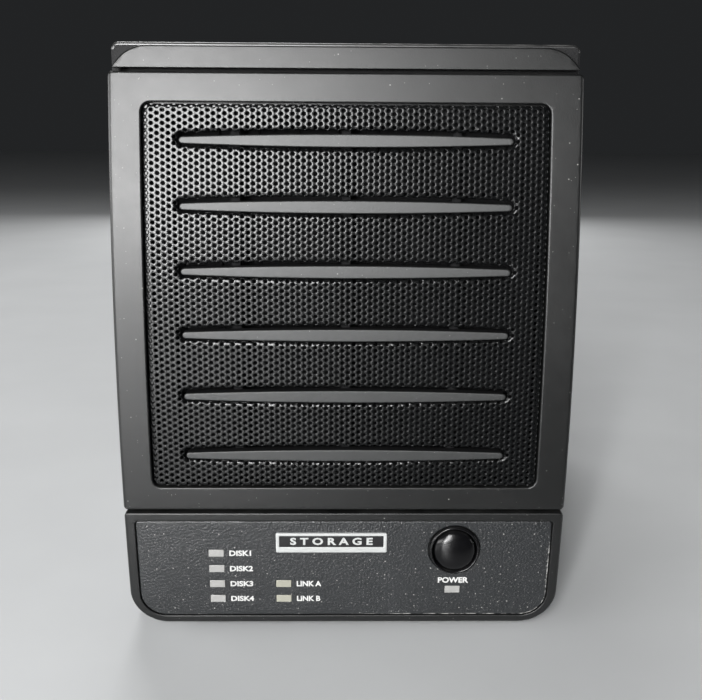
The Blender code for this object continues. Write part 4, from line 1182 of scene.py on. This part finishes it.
def text_mesh(name, words, align, spacing):
    """Flat bold words in the XY plane."""
    curve = bpy.data.curves.new(name, "FONT")
    curve.body = words
    curve.size = 1.0
    curve.align_x = align
    curve.space_character = spacing
    curve.resolution_u = 3
    curve.offset = 0.035
    holder = bpy.data.objects.new(name + "_curve", curve)
    bpy.context.scene.collection.objects.link(holder)
    bpy.context.view_layer.update()
    evaluated = holder.evaluated_get(bpy.context.evaluated_depsgraph_get())
    source = bpy.data.meshes.new_from_object(evaluated)
    bpy.data.objects.remove(holder, do_unlink=True)
    bpy.data.curves.remove(curve)
    bm = bmesh.new()
    bm.from_mesh(source)
    bpy.data.meshes.remove(source)
    bmesh.ops.remove_doubles(bm, verts=bm.verts, dist=1e-5)
    return bm


def lettering(name, words, x, z, height=1.85, depth=FILM_DEPTH, ink="ink_white", align="LEFT",
              spacing=1.0, width=1.0):
    """Printed words, x at the left or middle, z at the middle of the capitals, on the front."""
    bm = text_mesh(name, words, align, spacing)
    low = min(v.co.y for v in bm.verts)
    scale = height / (max(v.co.y for v in bm.verts) - low)
    made = bmesh.ops.extrude_face_region(bm, geom=list(bm.faces))
    moved = {v for v in made["geom"] if isinstance(v, bmesh.types.BMVert)}
    for v in bm.verts:
        at_x = x + v.co.x * scale * width
        at_z = z - height / 2 + (v.co.y - low) * scale
        offset = -0.03 if v in moved else 0.02
        v.co = Vector((at_x, float(front_y(at_z)) + depth + offset, at_z))
    bmesh.ops.recalc_face_normals(bm, faces=bm.faces)
    new_piece(name, bm, [ink], "control_panel_overlay", replace=False)


def labels():
    beside = [(f"disk_light_{i}", f"label_disk_{i}", f"DISK{i}", 1.1) for i in range(1, 5)]
    beside += [(f"link_light_{i}", f"label_link_{i}", f"LINK {'AB'[i - 1]}", 0.95) for i in (1, 2)]
    for node, name, words, width in beside:
        lettering(name, words, mm(node)[1][0] + 1.5, middle(node)[2], width=width)
    light_x, light_top = middle("power_light")[0], mm("power_light")[1][2]
    lettering("label_power", "POWER", light_x, light_top + 2.15, height=1.95, align="CENTER",
              width=1.02)
    (_, _, z0), (_, _, z1) = mm("nameplate")
    field_z = (z0 + PLATE_BELOW + z1 - PLATE_ABOVE) / 2
    lettering("nameplate_word", "STORAGE", middle("nameplate")[0], field_z, height=2.4,
              depth=PLATE_FIELD, ink="plate_silver", align="CENTER", spacing=1.6, width=1.25)


# (radius, distance behind the front surface at the button's centre)
BUTTON_RING = [
    (6.72, 4.0), (6.72, 0.3), (7.3, 0.2), (7.38, 0.0), (7.38, -0.75), (7.3, -1.0), (7.12, -1.2),
    (6.9, -1.28), (6.7, -1.22), (6.52, -1.05), (6.4, -0.7), (6.33, -0.2), (6.33, 4.0),
]


def button():
    """Round button with a rounded collar, and a stem that reaches back to the switch."""
    centre = BUTTON_X, BUTTON_Z
    face = float(front_y(BUTTON_Z))
    ring = turned([(radius, face + y) for radius, y in BUTTON_RING], centre, 80)
    new_piece("button_ring", ring, ["gloss_black"], "power_button_ring", smooth=50)

    tip = mm("power_button")[0][1]
    stem_end = mm("power_switch")[0][1] - 1.4
    dome_r, dome_rise, cap_r, stem_r = 6.08, 2.0, 6.1, 2.0
    profile = [(0.0, tip)]
    for k in range(1, 15):
        a = math.radians(90 * k / 14)
        profile.append((dome_r * math.sin(a) ** 0.98, tip + dome_rise * (1 - math.cos(a))))
    profile += [(cap_r, tip + 2.4), (cap_r, face + 3.0), (stem_r, face + 3.0),
                (stem_r, stem_end), (0.0, stem_end)]
    new_piece("button_cap", turned(profile, centre, 80), ["gloss_black"], "power_button",
              smooth=50)


# ------------------------------------------------------------------ casing
def casing():
    """Folded cover, open below and at the back, with a lip 8 mm wide round its front."""
    (x0, y0, z0), (x1, y1, z1) = mm("casing_cover")
    below = -6    # lower than the cover's open bottom

    def section(inset, low, corner, steps):
        box = (x0 + inset, x1 - inset, low, z1 - inset)
        return round_rect(box, (0.02, 0.02, corner, corner), side=WHOLE, steps=steps)

    _, screw_y, screw_z = middle("cover_screw_right")
    cover = cut(
        prism(section(0, z0, corner=2.2, steps=10), y0, y1, "Y"),
        prism(section(1, below, corner=1.2, steps=10), y0 + 1, y1 + 5, "Y"),
        prism(section(8, below, corner=1.0, steps=6), y0 - 5, y0 + 3, "Y"),
        prism(circle(screw_y, screw_z, 1.9, 28), x0 - 5, x1 + 5, "X"),
    )
    obj = new_piece("cover_sheet", cover, ["painted_steel"], "casing_cover",
                    smooth=30)
    bevel = obj.modifiers.new("edges", "BEVEL")
    bevel.width, bevel.segments = 0.0003, 3
    bevel.limit_method, bevel.angle_limit = "ANGLE", math.radians(40)
    bevel.harden_normals = True


# ------------------------------------------------------------------ fan guard
def fan_guard():
    """Wire rings joined by four arms that end in screw eyes."""
    _, guard_y, centre_z = middle("fan_guard")
    wire = 0.77

    def loop(x, z, radius, count):
        angles = np.arange(10) * 2 * math.pi / 10
        profile = [(radius + wire * math.cos(a), guard_y + wire * math.sin(a)) for a in angles]
        return turned(profile, (x, z), count)

    arms, eyes = [], []
    for k in range(1, 5):
        x, _, z = middle(f"fan_screw_{k}")
        direction = Vector((x, 0, z - centre_z))
        section = circle(0, 0, wire * 0.97, 10, math.pi / 7)
        arm = prism(section, 8.0, direction.length - 2.6, "Z")
        turn = Vector((0, 0, 1)).rotation_difference(direction.normalized())
        arm.transform(Matrix.Translation((0, guard_y, centre_z)) @ turn.to_matrix().to_4x4())
        arms.append(arm)
        eyes.append(loop(x, z, 3.0, 30))
    rings = [loop(0, centre_z, radius, 92) for radius in (18.0, 26.0, 34.0)]
    guard = join(loop(0, centre_z, 10.0, 52), *arms, *rings, *eyes)
    new_piece("guard_wires", guard, ["bright_metal"], "fan_guard", smooth=50)


# ------------------------------------------------------------------ the other CAD pieces
BEVELS = {    # width in mm by slot; the other slots stay sharp
    "painted_steel": 0.18, "black_abs": 0.25, "zinc_steel": 0.15, "dark_steel": 0.12,
    "gloss_black": 0.2, "milky_window": 0.16, "warm_window": 0.16, "circuit_board": 0.1,
    "rubber": 0.5, "ribbon_grey": 0.12, "drive_alloy": 0.4,
}
PREFIX_SLOTS = {
    "disk_light": "milky_window", "power_light": "milky_window", "link_light": "warm_window",
    "foot": "rubber", "fan_screw": "dark_steel", "cover_screw": "dark_steel",
    "hinge_pin": "dark_steel", "drive_connector": "gloss_black",
}
NAME_SLOTS = {
    "bright_metal": ("fan_guard", "nameplate"),
    "gloss_black": ("fan_frame", "fan_rotor", "power_button", "power_button_ring"),
    "circuit_board": ("backplane_board", "main_board", "front_circuit_board"),
    "cable_jacket": ("power_cable",),
    "ribbon_grey": ("panel_ribbon_cable",),
    "painted_steel": ("casing_cover", "rear_panel"),
    "zinc_steel": ("chassis_base", "drive_cage", "power_supply", "door_magnet", "door_strike",
                   "host_port", "storage_port"),
}
# nodes whose finish differs from their slot
SPECIAL_FINISH = {
    "main_board": "main_board",
    "hinge_pin_lower": "blackened_pin",
    "hinge_pin_upper": "blackened_pin",
}


def slot_for(name):
    for prefix, slot in PREFIX_SLOTS.items():
        if name.startswith(prefix):
            return slot
    for slot, names in NAME_SLOTS.items():
        if name in names:
            return slot
    if name.startswith("drive_") and name[6:].isdigit():
        return "drive_alloy"
    return "black_abs"


def dress_cad():
    """Finish and soften every CAD piece that is still shown."""
    for name, obj in NODES.items():
        if obj.hide_render:
            continue
        slot = slot_for(name)
        tray = name.startswith("drive_tray")
        obj.data.materials.clear()
        obj.data.materials.append(FINISH["tray_black" if tray else SPECIAL_FINISH.get(name, slot)])
        weld = obj.modifiers.new("weld", "WELD")
        weld.merge_threshold = 0.000002
        if slot in BEVELS and name not in ("fan_frame", "fan_rotor"):
            plane = obj.modifiers.new("planes", "DECIMATE")
            plane.decimate_type = "DISSOLVE"
            plane.angle_limit = math.radians(1.0)
            bevel = obj.modifiers.new("edges", "BEVEL")
            bevel.width, bevel.segments = BEVELS[slot] * MM, 3 if "light" in name else 2
            bevel.limit_method, bevel.angle_limit = "ANGLE", math.radians(40)
            even_normals(obj, weight=100)
        smooth_below(obj.data, 38)


bezel()
door_shell()
door_sheet()
sheet_rim()
door_fins()
panel_film()
nameplate()
labels()
button()
casing()
fan_guard()
dress_cad()

# ------------------------------------------------------------------ stage, in metres
scene = bpy.context.scene


def floor_material():
    shade = Shading("floor_pale")
    clouds = shade.node("ShaderNodeTexNoise", Scale=14.0, Detail=6.0, Vector=shade.where)
    pale = shade.mix(clouds.outputs["Fac"], (0.535, 0.545, 0.55), (0.61, 0.62, 0.625))
    # painted shade for reflections: seen in glossy rays, the floor turns dark in front of the
    # object, like the shade past a table's edge, and less so on the left; camera rays still see it
    # pale
    place = shade.xyz(shade.where)
    edge = shade.span(place[1], low=-0.135, high=-0.185, at_low=0.0, at_high=0.94)
    across = shade.span(place[0], low=-0.075, high=0.02, at_low=0.1, at_high=1.0)
    glossy = shade.node("ShaderNodeLightPath").outputs["Is Glossy Ray"]
    reflected_floor_shade = shade.times(glossy, shade.times(edge, across))
    # it throws light up at the object, but shows the viewer little glare
    seen = shade.node("ShaderNodeLightPath").outputs["Is Camera Ray"]
    sheen = shade.span(seen, low=0.0, high=1.0, at_low=0.7, at_high=0.05)
    shade.shader(Base_Color=shade.mix(reflected_floor_shade, pale, (0.02, 0.02, 0.02)), Roughness=0.34,
                 Specular_IOR_Level=sheen)
    return shade.material


def floor():
    mesh = bpy.data.meshes.new("floor")
    half = 4.0
    corners = [(-half, -half, 0), (half, -half, 0), (half, half, 0), (-half, half, 0)]
    mesh.from_pydata(corners, [], [(0, 1, 2, 3)])
    mesh.materials.append(floor_material())
    obj = bpy.data.objects.new("floor", mesh)
    scene.collection.objects.link(obj)


WORLD_COLOUR = (0.9, 0.95, 1.0, 1)
WORLD_STRENGTH = 0.018
AIM = Vector((0.0, -0.1, 0.09))    # every light points here
# azimuth from the front (negative is left) and elevation in degrees, distance, width and height
# in metres, power in watts
LIGHTS = {
    "key": (-9.5, 18.5, 1.4, 0.22, 0.74, 16.8),
    "slit": (-16.5, 17.5, 1.4, 0.08, 0.98, 13.2),
    "low_left": (-20, 4.5, 1.4, 0.14, 0.18, 4.5),
    "side_left": (-60, 10, 1.3, 1.4, 0.3, 12.0),
    "left_wall": (-104, 9, 1.2, 0.6, 0.3, 3.6),
    "right_wall": (94, 7, 1.3, 0.9, 0.26, 2.4),
    "back_low": (180, 8, 1.3, 0.25, 0.3, 4.0),
    "back_high": (-165, 50, 1.2, 0.4, 0.4, 5.6),
}


def light(name, azimuth, elevation, distance, width, height, power):
    data = bpy.data.lights.new(name, "AREA")
    data.shape = "RECTANGLE"
    data.size, data.size_y = width, height
    data.energy = power
    data.spread = math.radians(180)
    lamp = bpy.data.objects.new(name, data)
    lamp.visible_camera = False
    a, e = math.radians(azimuth), math.radians(elevation)
    direction = Vector((math.sin(a) * math.cos(e), -math.cos(a) * math.cos(e), math.sin(e)))
    lamp.location = AIM + distance * direction
    lamp.rotation_mode = "QUATERNION"
    lamp.rotation_quaternion = (lamp.location - AIM).to_track_quat("Z", "Y")
    scene.collection.objects.link(lamp)


CAMERA_AT = (-0.00308, -0.38223, 0.15133)
PITCH_DOWN, YAW, ROLL = math.radians(12.917), math.radians(-0.953), math.radians(0.375)
SENSOR_WIDTH, FOCAL_LENGTH = 36.0, 52.5384615    # mm


def camera():
    data = bpy.data.cameras.new("camera")
    data.sensor_width = SENSOR_WIDTH
    data.lens = FOCAL_LENGTH
    data.clip_start = 0.01
    obj = bpy.data.objects.new("camera", data)
    right = Vector((math.cos(YAW), math.sin(YAW), 0))
    flat = math.cos(PITCH_DOWN)
    forward = Vector((-math.sin(YAW) * flat, math.cos(YAW) * flat, -math.sin(PITCH_DOWN)))
    up = right.cross(forward)
    right, up = (right * math.cos(ROLL) + up * math.sin(ROLL),
                 up * math.cos(ROLL) - right * math.sin(ROLL))
    rows = zip(right, up, -forward, CAMERA_AT)
    obj.matrix_world = Matrix((*rows, (0, 0, 0, 1)))
    scene.collection.objects.link(obj)
    scene.camera = obj


floor()
world = bpy.data.worlds.new("studio")
scene.world = world
world.use_nodes = True
background = world.node_tree.nodes["Background"]
background.inputs["Color"].default_value = WORLD_COLOUR
background.inputs["Strength"].default_value = WORLD_STRENGTH
for name, values in LIGHTS.items():
    light(name, *values)
camera()
scene.view_settings.view_transform = "Standard"
scene.view_settings.look = "None"
